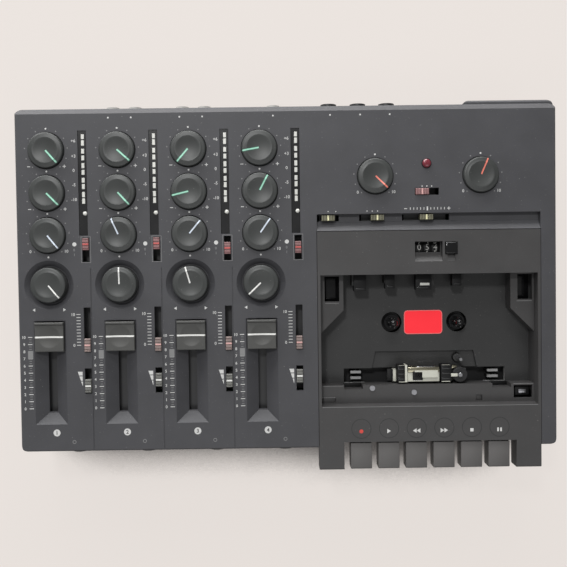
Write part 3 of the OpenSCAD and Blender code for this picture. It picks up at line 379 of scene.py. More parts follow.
# above the laminate stand dark potentiometers and jacks; the round signal jacks at the rear are pale
split_finish(board_green, [("Z", ABOVE, 36.1)], (44, 44, 45))
split_finish(board_green, [("Y", ABOVE, 108.0), ("X", BELOW, 5.0)], (186, 184, 180))
# black sensors behind the well, a dark chassis below it and steel levers at the ends of the head opening
split_finish(deck_paint, [("Z", ABOVE, 39.4), ("Y", ABOVE, -16.0)], (20, 20, 20))
split_finish(deck_paint, [("Z", BELOW, 35.6)], (22, 22, 23))
for side, limit in ((BELOW, 50.0), (ABOVE, 128.0)):
    split_finish(deck_paint, [("Z", ABOVE, 35.8), ("Z", BELOW, 38.4), ("X", side, limit)],
                 (150, 150, 150))
# the carriage's left end is black, and its right end dark
split_finish(cream_plastic, [("X", BELOW, 67.9)], (24, 24, 24))
split_finish(cream_plastic, [("X", ABOVE, 108.5)], (60, 60, 60))
steel = metal("zinc plated steel", (178, 178, 182), 0.32)
bright_steel = metal("bright steel", (225, 225, 228), 0.16, bump=0.02)
head_metal = metal("head metal", (165, 160, 140), 0.28)
print("finishes:", len(bpy.data.materials))

# %% [markdown]
# Printed ink sits on the plastic as a thin, slightly uneven film. It is nearly white on the scales, but its
# edges soak into the grain, so a fine noise thins the tone. The inlaid pointer lines and the lamp lenses are
# small and smooth, and get a plain recipe with a little variation.

# %% Inks, inlays and lenses
def ink(name, base, roughness=0.6):
    return plastic(name, base, roughness, grain=5200.0, bump=0.05, mottle=0.06)


white_ink = ink("white ink", (205, 205, 203))
grey_ink = ink("grey ink", (128, 128, 128))
red_ink = ink("red ink", (212, 70, 62))
dark_ink = ink("dark ink", (58, 58, 60))
# painted shade for the rims of the shallow recesses round the keys' symbols
key_ring_shade = ink("painted key ring shade", (36, 36, 37))
mint_line = ink("mint inlay", (158, 212, 190), 0.4)
mint_edge = ink("mint inlay edge", (48, 104, 82), 0.4)
ice_line = ink("ice blue inlay", (214, 224, 236), 0.4)
white_line = ink("white inlay", (232, 232, 228), 0.4)
salmon_line = ink("salmon inlay", (232, 128, 110), 0.4)
line_shade = ink("inlay shadow line", (52, 54, 56), 0.5)
pink_line = ink("pink inlay", (214, 168, 164), 0.4)
red_line = ink("red inlay", (196, 92, 88), 0.4)
yellow_line = ink("pale yellow inlay", (240, 236, 190), 0.4)
segment_white = ink("unlit segment", (212, 212, 206), 0.3)
sticker_red = ink("red sticker", (246, 44, 58), 0.45)
# painted light: a faint red glow keeps the sticker bright in the shaded well, though a sticker gives no light
sticker_glow = sticker_red.node_tree.nodes["Principled BSDF"].inputs
sticker_glow["Emission Color"].default_value, sticker_glow["Emission Strength"].default_value = colour(255, 20, 30), 0.28
sticker_edge = ink("sticker edge", (250, 120, 120), 0.5)
lamp_red = plastic("power lamp lens", (118, 48, 58), 0.15, bump=0.0, mottle=0.25)
scale_white = ink("numbers on the counter wheels", (172, 171, 168))

# %% [markdown]
# ## Camera
#
# The reference view looks almost straight down from about half a metre. Its lens and place were solved from
# the panel's printed rows and the walls of the cassette well, whose sides are only seen in perspective.

# %% The camera
SENSOR = 36.0
LENS_SHARE = 765.0 / 567.0
camera_data = bpy.data.cameras.new("camera")
camera_data.sensor_width = camera_data.sensor_height = SENSOR
camera_data.lens = LENS_SHARE * SENSOR
camera_data.clip_start = 0.01
camera = bpy.data.objects.new("camera", camera_data)
scene.collection.objects.link(camera)
turn = Matrix(((0.99989, -0.01361, 0.00594), (0.01376, 0.99953, -0.02733), (-0.00557, 0.02741, 0.99961)))
camera.matrix_world = Matrix.Translation((-0.005286, 0.014782, 0.538554)) @ turn.transposed().to_4x4()
scene.camera = camera
print("camera height:", round(camera.location.z, 3), "m, lens", round(camera_data.lens, 2), "mm")

# %% [markdown]
# ## Light and ground
#
# The recorder stands on pale paper. A small lamp high up at the rear left puts the crescents into the knobs'
# dishes and draws the short shadows. A panel further back throws the longer shadows into the cassette well,
# a wide, low window makes the rear rims and the slopes that face backwards bright, and the rest is even white
# light from all round.

# %% Light and ground
world = bpy.data.worlds.new("studio")
scene.world = world
world.use_nodes = True
sky = world.node_tree.nodes["Background"].inputs
sky["Color"].default_value, sky["Strength"].default_value = (1.0, 1.0, 1.0, 1.0), 0.22


def soft_box(name, location, target, size, watts):
    data = bpy.data.lights.new(name, "AREA")
    data.shape = "RECTANGLE"
    data.size, data.size_y = size
    data.energy = watts
    lamp = bpy.data.objects.new(name, data)
    scene.collection.objects.link(lamp)
    aim = Vector(target) - Vector(location)
    lamp.location = location
    lamp.rotation_euler = aim.to_track_quat("-Z", "Y").to_euler()


soft_box("key lamp", (-0.28, 0.62, 1.32), (0.0, 0.0, 0.03), (0.15, 0.15), 6.6)
soft_box("front panel", (0.0, -0.75, 1.40), (0.0, 0.0, 0.03), (1.6, 0.6), 5.5)
soft_box("rear panel", (0.05, 1.35, 1.08), (0.0, 0.0, 0.03), (0.8, 0.35), 6.5)
soft_box("low window", (-0.40, 1.30, 0.28), (0.0, 0.0, 0.05), (1.8, 0.50), 32.0)

bpy.ops.mesh.primitive_plane_add(size=6, location=(0, 0, 0))
ground = bpy.context.object
ground.name = "ground"
paper = bpy.data.materials.new("paper")
paper.use_nodes = True
tree = paper.node_tree
tree.nodes.remove(tree.nodes["Principled BSDF"])
GROUND_TONE = colour(235, 228, 223)
GLOW = 0.87


def ground_diffuse(factor):
    return add(tree, "BsdfDiffuse", Color=tinted(GROUND_TONE, factor)).outputs[0]


# the camera sees a ground whose shadows are partly filled, darkest where the body stands close; every other
# ray meets plain paper
near = add(tree, "AmbientOcclusion", Distance=0.075)
depth = add(tree, "MapRange", From_Min=0.58, From_Max=0.76, To_Min=0.05, To_Max=GLOW)
# light comes from behind, so only the ground in front of the body lies in its shade
spot = add(tree, "SeparateXYZ")
ahead = add(tree, "MapRange", From_Min=-0.096, From_Max=-0.103)
shade = add(tree, "Mix", A=GLOW)
glow = add(tree, "Emission", Color=GROUND_TONE)
filled = add(tree, "AddShader")
choose = add(tree, "MixShader")
for start, end in (
    (near.outputs["AO"], depth.inputs["Value"]), (add(tree, "TexCoord").outputs["Object"], spot.inputs[0]),
    (spot.outputs["Y"], ahead.inputs["Value"]), (ahead.outputs["Result"], shade.inputs["Factor"]),
    (depth.outputs["Result"], shade.inputs["B"]), (shade.outputs["Result"], glow.inputs["Strength"]),
    (glow.outputs[0], filled.inputs[0]), (ground_diffuse(0.11), filled.inputs[1]),
    (add(tree, "LightPath").outputs["Is Camera Ray"], choose.inputs["Fac"]),
    (ground_diffuse(1.0), choose.inputs[1]), (filled.outputs[0], choose.inputs[2]),
    (choose.outputs[0], tree.nodes["Material Output"].inputs["Surface"]),
):
    tree.links.new(start, end)
ground.data.materials.append(paper)
scene.view_settings.view_transform = "Standard"

# %% [markdown]
# ## The solids that keep their shape
#
# The case halves, the tape cover, the deck plate, the boards, meters, feet and screws already have their true
# shape from the design, so they only get a finish.

# %% Finishes for the solids
for name, finish in {
    "top_case": panel_plastic, "bottom_case": base_plastic, "tape_cover": cover_plastic,
    "tape_deck": deck_paint, "main_board": board_green, "level_meters": smoke_plastic,
    "rubber_feet": rubber, "screws": steel, "power_switch": black_plastic, "capstan": bright_steel,
    "head_carriage": cream_plastic,
}.items():
    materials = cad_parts[name].data.materials
    materials.clear()
    materials.append(finish)
print("finished solids: 11")

# %% [markdown]
# ## Knobs
#
# Each knob is one injection moulding: a drum with a sharp bevel, a shallow dish in its top for a finger
# tip, and a groove from the centre to the rim that is inlaid with a coloured line. On a lathe it would be a
# single cut, so it is spun from a half profile here. The line is a narrow strip that follows the dish, with
# a darker edge on both sides, and it is turned to where the knob stands. A thin black ring deep in the
# panel's hole is painted shade: it makes the gap round the knob look black.

# %% One knob, spun
KNOB_TOP = 61.0
KNOB_R = 11.0
DISH_R = 7.8
DISH_DEPTH = 0.9
DISH_BALL = (DISH_R ** 2 + DISH_DEPTH ** 2) / (2 * DISH_DEPTH)
RIM = ((8.2, KNOB_TOP), (8.6, 60.83), (9.9, 60.75), (10.4, 60.66), (10.8, 60.4), (KNOB_R, 60.0))


def dish_height(r):
    """Height of the knob's top at radius r, in millimetres over the table."""
    if r < DISH_R:
        return KNOB_TOP - DISH_DEPTH + DISH_BALL - math.sqrt(DISH_BALL ** 2 - r ** 2)
    for (r0, h0), (r1, h1) in zip(((0, KNOB_TOP),) + RIM, RIM):
        if r <= r1:
            return h0 + (h1 - h0) * (r - r0) / (r1 - r0)
    return RIM[-1][1]


def dished(x, y):
    return dish_height(math.hypot(x, y))


def knob_body(name, centre):
    dish = [(DISH_R * k / 8, dish_height(DISH_R * k / 8 - 1e-6)) for k in range(9)]
    profile = [(0, 53.5), (KNOB_R, 53.5), *RIM[::-1], (DISH_R + 0.2, KNOB_TOP), *dish[::-1]]
    drum = turned(name, centre, profile, 72)
    shaft = turned(name + " shaft", centre, [(0, 46.3), (3.0, 46.3), (3.0, 53.6), (0, 53.6)], 24)
    return drum, shaft


def ribbon(name, centre, start, end, width, lift, height_of, angle, offset=0.0, pieces=16, sink=0.35):
    """A thin strip laid on a shaped top: along its own axis from start to end, then turned clockwise."""
    turn_by = -math.radians(angle)
    points, faces = [], []
    for layer in (lift, -sink):
        for k in range(pieces + 1):
            r = start + (end - start) * k / pieces
            for side in (-0.5, 0.5):
                u = offset + side * width
                x = u * math.cos(turn_by) - r * math.sin(turn_by)
                y = u * math.sin(turn_by) + r * math.cos(turn_by)
                points.append(place(centre[0] + x, centre[1] + y, height_of(x, y) + layer))
    half = 2 * (pieces + 1)
    for k in range(pieces):
        a, b, c, d = 2 * k, 2 * k + 1, 2 * k + 3, 2 * k + 2
        faces += [(a, b, c, d), (a + half, d + half, c + half, b + half)]
        faces += [(a, d, d + half, a + half), (b, b + half, c + half, c)]
    faces += [(0, half, half + 1, 1), (half - 2, half - 1, 2 * half - 1, 2 * half - 2)]
    piece = from_points(name, points, faces=faces)
    leave_edit(outward=True)
    return piece


def make_knob(node, centre, angle, line, edge):
    drum, shaft = knob_body(node + "_shell", centre)
    shell = joined(node + "_shell", [drum, shaft])
    settle(shell, node, knob_plastic, 28)
    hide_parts(node)
    # painted shade: a black ring deep in the panel's hole makes the gap round the knob look dark
    gap_shade = turned(node + "_painted_gap_shade", centre, [(11.12, 54.2), (11.58, 54.2), (11.58, 57.5), (11.12, 57.5),
                                               (11.12, 54.2)], 48)
    settle(gap_shade, "case", rubber)
    mark = ribbon(node + "_line", centre, 0.2, 10.93, 0.9, 0.04, dished, angle, pieces=30)
    settle(mark, node, line)
    for side in (-1, 1):
        border = ribbon(node + ("_edge_a" if side < 0 else "_edge_b"), centre, 0.1, 10.93, 0.3, 0.02, dished,
                        angle, side * 0.6, pieces=30)
        settle(border, node, edge)


# %% [markdown]
# The sixteen channel knobs stand where someone last left them, in clockwise degrees from straight up. The
# three upper rows carry mint and ice blue lines, the pan row white ones, and the two master knobs salmon.

# %% All eighteen knobs
KNOB_ROWS = {
    "high_knob": (83.3, (138, 132, -140, -100.5), mint_line, mint_edge),
    "low_knob": (56.7, (135, 137, -104, 28), mint_line, mint_edge),
    "aux_knob": (30.3, (140, -23, 40.5, 35.5), ice_line, line_shade),
    "pan_knob": (-0.9, (139, 0, -15.5, -133.5), white_line, line_shade),
}
for row, (y, angles, line, edge) in KNOB_ROWS.items():
    for channel, angle in enumerate(angles, 1):
        make_knob(f"{row}_{channel}", (channel_x(channel), y), angle, line, edge)
make_knob("aux_return_knob", (55.7, 64.8), 135, salmon_line, line_shade)
make_knob("monitor_knob", (121.9, 64.8), 22, salmon_line, line_shade)

# %% [markdown]
# ## Channel faders
#
# A fader cap is moulded with sloped sides that dip into its trough. Its top has a round dish for the finger
# tip, a raised lip at the rear and a white line across the middle. The top is a grid whose points are set
# by a height function; the upright sides are one extrusion, and the sloped part below is a box whose lower
# end is drawn in.

# %% One fader cap, on four channels
FADER_HALF = 9.0
FADER_REAR = 9.15
FADER_FACE = 60.2
FADER_LIP = 61.0


def fader_top(u, v):
    height = FADER_FACE
    r = math.hypot(u, v)
    if r < 6.7:
        height -= 1.0 * (1 - (r / 6.7) ** 2)
    if v > 7.35:
        height += (FADER_LIP - FADER_FACE) * min(1.0, (v - 7.35) / 0.6)
    edge = max(abs(u) - (FADER_HALF - 0.4), abs(v) - (FADER_REAR - 0.4), 0.0)
    return height - edge ** 2 * 1.6


def make_fader(channel, y):
    node = f"fader_{channel}"
    centre = (channel_x(channel), y)
    cap = shaped(node + "_cap", centre, (2 * FADER_HALF, 2 * FADER_REAR), (60, 61), fader_top, 57.9)
    keel = block(node + "_keel", (centre[0] - FADER_HALF, y - FADER_REAR, 53.7),
                 (centre[0] + FADER_HALF, y + FADER_REAR, 57.95))
    edit(keel)
    pick(keel, "verts", lambda middle, part: middle.z < 54 * MM)
    bpy.ops.transform.resize(value=(2.91 / FADER_HALF, 1, 1), center_override=place(*centre, 53.7))
    front = place(0, y - FADER_REAR + 0.1, 0).y
    pick(keel, "verts", lambda middle, part: middle.z < 54 * MM and middle.y < front)
    bpy.ops.transform.translate(value=(0, (FADER_REAR - 3.0) * MM, 0))
    leave_edit()
    stem = block(node + "_stem", (centre[0] - 1.5, y - 2.5, 49.7), (centre[0] + 1.5, y + 2.5, 53.8))
    whole = joined(node + "_cap", [cap, keel, stem])
    settle(whole, node, fader_plastic, 30)
    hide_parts(node)
    line = ribbon(node + "_line", centre, -8.85, 8.85, 1.05, 0.03, fader_top, 90, pieces=48)
    settle(line, node, white_line)


FADER_Y = -33.4
for channel in (1, 2, 3, 4):
    make_fader(channel, FADER_Y)
print("fader caps: 4, top face at", FADER_FACE, "mm")

# %% [markdown]
# ## Small slider caps
#
# The CUE, GAIN and switch caps are all the same moulding in different lengths and tints: a little block with
# ribs across its longer side, so that a finger nail can push it, and a coloured line on the middle rib. The
# ribs are cut into a grid top by the height function, and a stem reaches down to the slider below.

# %% Sixteen small caps
RIB_GROOVES = (-2.85, -0.95, 0.95, 2.85)


def ribbed(long_x, half_long, half_short, top):
    def height(u, v):
        along, across = (u, v) if long_x else (v, u)
        dip = max(0.0, 0.5 * (1 - max(0.0, min(abs(along - g) for g in RIB_GROOVES) - 0.18) / 0.16))
        edge = max(abs(along) - half_long + 0.3, abs(across) - half_short + 0.3, 0.0)
        return top - dip - edge ** 2 * 2.0
    return height


def make_small_cap(node, finish, line):
    low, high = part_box(node)
    middle = (low + high) / 2 / MM
    centre = (middle.x, middle.y - PANEL_SHIFT)
    size = ((high.x - low.x) / MM, (high.y - low.y) / MM)
    long_x = size[0] > size[1]
    top = high.z / MM
    bottom = top - (3.4 if top > PANEL_TOP else 5.2)
    height = ribbed(long_x, max(size) / 2, min(size) / 2, top)
    cap = shaped(node + "_cap", centre, size, (66, 17) if long_x else (17, 66), height, bottom)
    stem = block(node + "_stem", (centre[0] - 1.2, centre[1] - 1.2, low.z / MM),
                 (centre[0] + 1.2, centre[1] + 1.2, bottom + 0.1))
    whole = joined(node + "_cap", [cap, stem])
    settle(whole, node, finish, 40)
    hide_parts(node)
    reach = min(size) / 2 - 0.12
    mark = ribbon(node + "_line", centre, -reach, reach, 0.95, 0.03, height, 0 if long_x else 90, pieces=12)
    settle(mark, node, line)


for channel in (1, 2, 3, 4):
    make_small_cap(f"cue_slider_{channel}", pink_cap, pink_line)
    make_small_cap(f"gain_slider_{channel}", grey_cap, white_line)
    make_small_cap(f"rec_select_{channel}", red_cap, red_line)
make_small_cap("monitor_select", red_cap, pink_line)
for node in ("zero_stop_switch", "noise_switch", "pitch_slider"):
    make_small_cap(node, yellow_cap, yellow_line)

# %% [markdown]
# ## Transport keys
#
# Six keys hang on one shaft under the cassette well. Each is a box with soft edges and a deeper chamfer along
# its front, a lever that runs back under the cover and a hub round the shaft.

# %% Six keys
KEYS = ("record_key", "play_key", "rewind_key", "forward_key", "stop_key", "pause_key")
KEY_STEP = 17.49
KEY_TOP = 57.0
KEY_FRONT, KEY_REAR = -120.2, -103.6
HALF_KEY = 6.7


def key_x(index):
    return DECK_X + (index - 2.5) * KEY_STEP


def make_key(index, node):
    x = key_x(index)
    cap = block(node + "_cap", (x - HALF_KEY, KEY_FRONT, 46.0), (x + HALF_KEY, KEY_REAR, KEY_TOP))
    edit(cap)
    front = place(0, KEY_FRONT + 0.05, 0).y
    pick(cap, "edges", lambda middle, part: middle.y < front and middle.z > (KEY_TOP - 0.1) * MM)
    soften(1.0, 3)
    pick(cap, "edges", lambda middle, part: abs(middle.x - x * MM) > (HALF_KEY - 0.1) * MM
         or middle.y > front + 15 * MM)
    soften(0.35, 2)
    leave_edit()
    lever = block(node + "_lever", (x - 2.5, -106.6, 41.0), (x + 2.5, -78.5, 46.5), 0.3)
    web = block(node + "_web", (x - 2.5, -106.6, 41.0), (x + 2.5, -104.2, 47.0), 0.3)
    hub = cross_shaft((x, -78.5, 43), 4, 9, 40)
    edit(hub)
    pick(hub, "faces", lambda middle, part: len(part.verts) > 20)
    bpy.ops.mesh.inset(thickness=1.9 * MM)
    bpy.ops.mesh.delete(type="FACE")
    bpy.ops.mesh.select_all(action="DESELECT")
    bpy.ops.mesh.select_mode(type="EDGE")
    bpy.ops.mesh.select_non_manifold()
    bpy.ops.mesh.bridge_edge_loops()
    leave_edit(outward=True)
    whole = joined(node + "_cap", [cap, lever, web, hub])
    settle(whole, node, key_plastic, 40)
    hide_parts(node)


for index, node in enumerate(KEYS):
    make_key(index, node)
print("keys:", len(KEYS), "at every", KEY_STEP, "mm")

# %% [markdown]
# ## Spindles
#
# The two spindles take the cassette's hubs. Each is turned, with a rounded nose and three fins across it that
# catch the teeth of the hub, and it stands on its reel table under the deck plate.

# %% Two spindles
HUB_Y = -28.6


def make_spindle(node, x):
    centre = (x, HUB_Y)
    table = turned(node + "_table", centre, [(0, 28.3), (1.5, 28.3), (1.5, 31), (14, 31), (14, 34), (5.2, 34),
                                             (5.2, 39.7), (4.9, 40), (0, 40)], 56)
    nose = turned(node + "_nose", centre, [(0, 39.5), (2.6, 39.5), (2.6, 48.2), (2.45, 49.0), (1.9, 49.8),
                                           (1.1, 50.3), (0, 50.5)], 40)
    fins = []
    for number in range(3):
        fin = block(f"{node}_fin_{number}", (x - 3.6, HUB_Y - 0.5, 39.5), (x + 3.6, HUB_Y + 0.5, 48.0), 0.35)
        edit(fin)
        choose_all()
        bpy.ops.transform.rotate(value=math.radians(60 * number + 15), orient_axis="Z",
                                 center_override=place(x, HUB_Y, 44))
        leave_edit()
        fins.append(fin)
    whole = joined(node + "_body", [table, nose] + fins)
    settle(whole, node, gloss_plastic, 35)
    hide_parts(node)


HALF_SPACING = 21.25
make_spindle("supply_spindle", DECK_X - HALF_SPACING)
make_spindle("takeup_spindle", DECK_X + HALF_SPACING)
print("spindles", 2 * HALF_SPACING, "mm apart")

# %% [markdown]
# ## Capstan, pinch roller and the head carriage
#
# The capstan is a ground steel pin. The pinch roller is a rubber tyre on a bush, turned with rounded rims.
# The carriage itself keeps its designed shape in cream nylon; the parts on it that catch the light are
# modelled here: the head with its polished face and pins, the black guides, the connector, a tape guard and
# the roller's bracket and cap.

# %% Pinch roller
ROLLER = (110.4, -62.3)
tyre = turned("pinch_roller_tyre", ROLLER, [(1.75, 40.6), (4.4, 40.6), (4.8, 41.0), (4.8, 48.2), (4.4, 48.6),
                                            (1.75, 48.6), (1.75, 40.6)], 48)
settle(tyre, "pinch_roller", rubber, 35)
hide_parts("pinch_roller")


# %% Things on the carriage
def on_carriage(name, low, high, finish, bevel=0.2):
    settle(block(name, low, high, bevel), "head_carriage", finish, 40)


for number, (x, half) in enumerate(((72.6, 2.6), (101.7, 3.6)), 1):
    on_carriage(f"guide_{number}", (x - half, -66.6, 40.1), (x + half, -55.7, 48.1), black_plastic, 0.5)
    for rib in range(3):
        y = -65.0 + rib * 3.2
        on_carriage(f"guide_{number}_rib_{rib}", (x - half + 0.5, y, 48.0), (x + half - 0.5, y + 1.1, 48.35),
                    smoke_plastic, 0.12)
on_carriage("head_bed", (76.7, -66.6, 40.1), (97.2, -60.3, 47.4), cream_plastic, 0.3)
on_carriage("head_shell", (76.9, -60.5, 40.1), (97.0, -57.1, 48.4), head_metal, 0.4)
on_carriage("head_face", (82.4, -57.2, 41.0), (94.6, -56.9, 48.0), bright_steel, 0.1)
on_carriage("head_plug", (79.9, -65.4, 45.0), (86.3, -59.8, 49.0), black_plastic, 0.4)
for pin in range(4):
    x = 80.6 + 1.45 * pin
    on_carriage(f"head_pin_{pin}", (x, -65.9, 46.4), (x + 0.5, -65.3, 48.3), bright_steel, 0.08)
on_carriage("tape_guard", (104.9, -58.4, 40.1), (108.6, -56.6, 46.5), head_metal, 0.3)
on_carriage("roller_bracket", (104.4, -63.4, 48.7), (111.2, -61.4, 49.3), cream_plastic, 0.2)
roller_cap = turned("roller_cap", ROLLER, [(0, 49.0), (1.5, 49.0), (1.5, 49.5), (1.2, 49.75), (0, 49.75)], 32)
settle(roller_cap, "head_carriage", bright_steel, 35)

# %% [markdown]
# ## Tape counter
#
# Three number wheels turn on one shaft behind a window. Each wheel is a short drum with rounded rims, and its
# ten numbers are printed round it. The numbers are text turned into a mesh; every point is then wrapped onto
# the drum, where its height on the page becomes an angle.

# %% Number wheels
WHEEL_AXIS = (19.95, 46.2)
WHEEL_R = 6.5


def glyph(words, size, bold=0.0):
    """A flat mesh of the text, centred, in millimetres."""
    curve = bpy.data.curves.new("glyph", "FONT")
    curve.body = words
    curve.size = size
    curve.offset = bold
    curve.resolution_u = 3
    curve.align_x = curve.align_y = "CENTER"
    piece = bpy.data.objects.new("glyph", curve)
    scene.collection.objects.link(piece)
    only(piece)
    bpy.ops.object.convert(target="MESH")
    piece = bpy.context.object
    edit(piece)
    choose_all()
    bpy.ops.mesh.remove_doubles(threshold=0.001)
    leave_edit()
    xs = [v.co.x for v in piece.data.vertices]
    ys = [v.co.y for v in piece.data.vertices]
    shift = Vector(((min(xs) + max(xs)) / 2, (min(ys) + max(ys)) / 2, 0))
    for vertex in piece.data.vertices:
        vertex.co -= shift
    return piece


def thicken(piece, depth):
    """Gives a flat mesh that lies in z = 0 a thickness downwards."""
    edit(piece)
    choose_all()
    bpy.ops.mesh.extrude_region_move(TRANSFORM_OT_translate={"value": (0, 0, -depth)})
    leave_edit(outward=True)


wheels, numbers = [], []
for position, shown in zip((-1, 0, 1), (0, 5, 4)):
    x = DECK_X - 0.1 + position * 5.1
    drum = cross_shaft((x, *WHEEL_AXIS), WHEEL_R, 4.7, 60)
    edit(drum)
    pick(drum, "edges", lambda middle, part: abs(abs(middle.x - x * MM) - 2.35 * MM) < 1e-5)
    soften(0.3, 2)
    leave_edit()
    wheels.append(drum)
    for digit in range(10):
        piece = glyph(str(digit), 5.2)
        thicken(piece, 0.06)
        tilt = (shown - digit) * math.tau / 10
        for vertex in piece.data.vertices:
            u, v, w = vertex.co
            angle = v / WHEEL_R + tilt
            radius = WHEEL_R + 0.04 + w
            vertex.co = Vector((x + u, WHEEL_AXIS[0] + PANEL_SHIFT + radius * math.sin(angle),
                                WHEEL_AXIS[1] + radius * math.cos(angle))) * MM
        numbers.append(piece)
wheels.append(cross_shaft((DECK_X - 0.1, *WHEEL_AXIS), 1.25, 19, 32))
drums = joined("counter_drums", wheels)
settle(drums, "counter_wheels", black_plastic, 35)
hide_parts("counter_wheels")
digits = joined("counter_numbers", numbers)
settle(digits, "counter_wheels", scale_white)
print("numbers on the wheels:", len(digits.data.polygons), "faces")

# %% [markdown]
# ## Counter reset button
#
# A plain black push button with rounded shoulders, above a flange that keeps it in its sleeve.

# %% Reset button
button = block("reset_button_cap", (99.4, 15.4, 49.0), (107.0, 23.0, 59.5))
edit(button)
pick(button, "edges", lambda middle, part: middle.z > 59.4 * MM)
soften(0.8, 4)
leave_edit()
flange = block("reset_button_flange", (98.8, 14.4, 49.0), (107.6, 24.0, 49.8), 0.15)
button = joined("reset_button_cap", [button, flange])
settle(button, "reset_button", gloss_plastic, 40)
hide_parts("reset_button")
print("reset button top:", 59.5, "mm")

# %% [markdown]
# ## Level meters and lamps
#
# Each meter is a smoked bar between the channels with ten light segments in pairs, and a round record lamp
# below. The power lamp is a small faceted dome; its facets scatter the room's light, so it looks darker in
# the middle than at its rim.

# %% Meter segments and lamps
SEGMENTS = ((93.1, 90.1), (89.4, 86.0), (84.1, 81.1), (79.9, 76.9), (75.2, 72.0), (70.9, 67.9),
            (66.0, 63.0), (62.2, 59.0), (57.2, 53.9), (53.2, 49.8))
for channel in (1, 2, 3, 4):
    x = channel_x(channel) + 22.8
    rows = [block(f"meter_{channel}_segment_{number}", (x - 0.9, low, 57.4), (x + 0.9, high, 57.85), 0.12)
            for number, (high, low) in enumerate(SEGMENTS)]
    settle(joined(f"meter_{channel}_segments", rows), "case", segment_white)
    lamp = turned(f"record_lamp_{channel}", (x + 0.7, 43.7),
                  [(0, 56.0), (1.35, 56.0), (1.35, 57.7), (1.2, 58.1), (0.8, 58.4), (0, 58.55)], 32)
    settle(lamp, "case", segment_white, 40)

lens = turned("power_lamp_lens", (88.0, 72.3),
              [(0, 58.0), (2.75, 58.0), (2.75, 58.8), (2.5, 59.25), (2.0, 59.65), (1.1, 59.9), (0, 59.95)], 12)
settle(lens, "case", lamp_red)
print("lamps and segments:", 4 * len(SEGMENTS) + 5)

# %% [markdown]
# ## Printed scales
#
# The scales are screen printed: dots round the knobs, ticks beside the sliders, plain numbers. A print has
# almost no thickness, so each mark is a flat shape that stands 0.04 mm out of the panel. The marks of one
# channel are built once, joined, and copied to the other three.

# %% Flat marks
PRINT_RISE = 0.04
PRINT_SINK = 0.10
glyph_faces = {}


def text(words, x, y, size, bold=0.03):
    """The faces of a word's flat mesh, moved to x, y."""
    key = (words, size, bold)
    if key not in glyph_faces:
        piece = glyph(words, size, bold)
        points = piece.data.vertices
        glyph_faces[key] = [[points[i].co.xy.copy() for i in face.vertices] for face in piece.data.polygons]
        bpy.data.objects.remove(piece)
    return [[(u + x, v + y) for u, v in face] for face in glyph_faces[key]]


def flat(points, x=0.0, y=0.0):
    return [[(u + x, v + y) for u, v in points]]


def dot(x, y, diameter, steps=16):
    r = diameter / 2
    turns = [k * math.tau / steps for k in range(steps)]
    return flat([(r * math.cos(angle), r * math.sin(angle)) for angle in turns], x, y)


def bar(x0, y0, x1, y1):
    return flat([(x0, y0), (x1, y0), (x1, y1), (x0, y1)])


def ring(x, y, radius, width, steps=64):
    corners = [(math.cos(k * math.tau / steps), math.sin(k * math.tau / steps)) for k in range(steps + 1)]
    inner, outer = radius - width / 2, radius + width / 2
    return [[(x + inner * a, y + inner * b), (x + outer * a, y + outer * b), (x + outer * c, y + outer * d),
             (x + inner * c, y + inner * d)] for (a, b), (c, d) in zip(corners, corners[1:])]


def frame_line(x0, y0, x1, y1, width=0.3):
    """The outline of a rectangle as a thin line."""
    return (bar(x0, y0, x1, y0 + width) + bar(x0, y1 - width, x1, y1)
            + bar(x0, y0 + width, x0 + width, y1 - width) + bar(x1 - width, y0 + width, x1, y1 - width))


def cut_out(name, points, faces, depth, top):
    """A flat shape in panel millimetres with some thickness, its upper side at a height over the table."""
    piece = from_points(name, points, faces=faces)
    bpy.ops.mesh.remove_doubles(threshold=0.002)
    leave_edit()
    thicken(piece, depth)
    piece.data.transform(Matrix.Translation(Vector((0, PANEL_SHIFT, top))))
    piece.data.transform(Matrix.Scale(MM, 4))
    return piece


def printed(name, marks, finish, top=PANEL_TOP, height=0.0, body="case"):
    """One piece from many flat marks: their faces, given the thickness of the print."""
    points = [(u, v, 0.0) for face in marks for u, v in face]
    faces, start = [], 0
    for face in marks:
        faces.append(tuple(range(start, start + len(face))))
        start += len(face)
    sheet = cut_out(name, points, faces, PRINT_RISE + PRINT_SINK, top + PRINT_RISE + height)
    return settle(sheet, body, finish)


def minus(x, y):
    return bar(x - 0.95, y - 0.2, x + 0.95, y + 0.2)


def plus(x, y):
    return (bar(x - 1.0, y - 0.22, x + 1.0, y + 0.22) + bar(x - 0.22, y + 0.24, x + 0.22, y + 1.0)
            + bar(x - 0.22, y - 1.0, x + 0.22, y - 0.24))


def dial(x, y, ends, top_dot=1.15):
    """Eleven dots round a knob and what stands at the two ends of its turn."""
    marks = dot(x, y + 13.5, top_dot)
    dim = []
    for step in range(-5, 6):
        if step:
            angle = math.radians(28 * step)
            dim += dot(x + 13.4 * math.sin(angle), y + 13.4 * math.cos(angle), 0.8)
    low, high = (x - 11.0, y - 10.0), (x + 11.2, y - 10.0)
    if ends == "signs":
        marks += minus(*low) + plus(*high)
    else:
        marks += text("0", *low, 2.6) + text("10", high[0] + 0.4, high[1], 2.6)
    return marks, dim


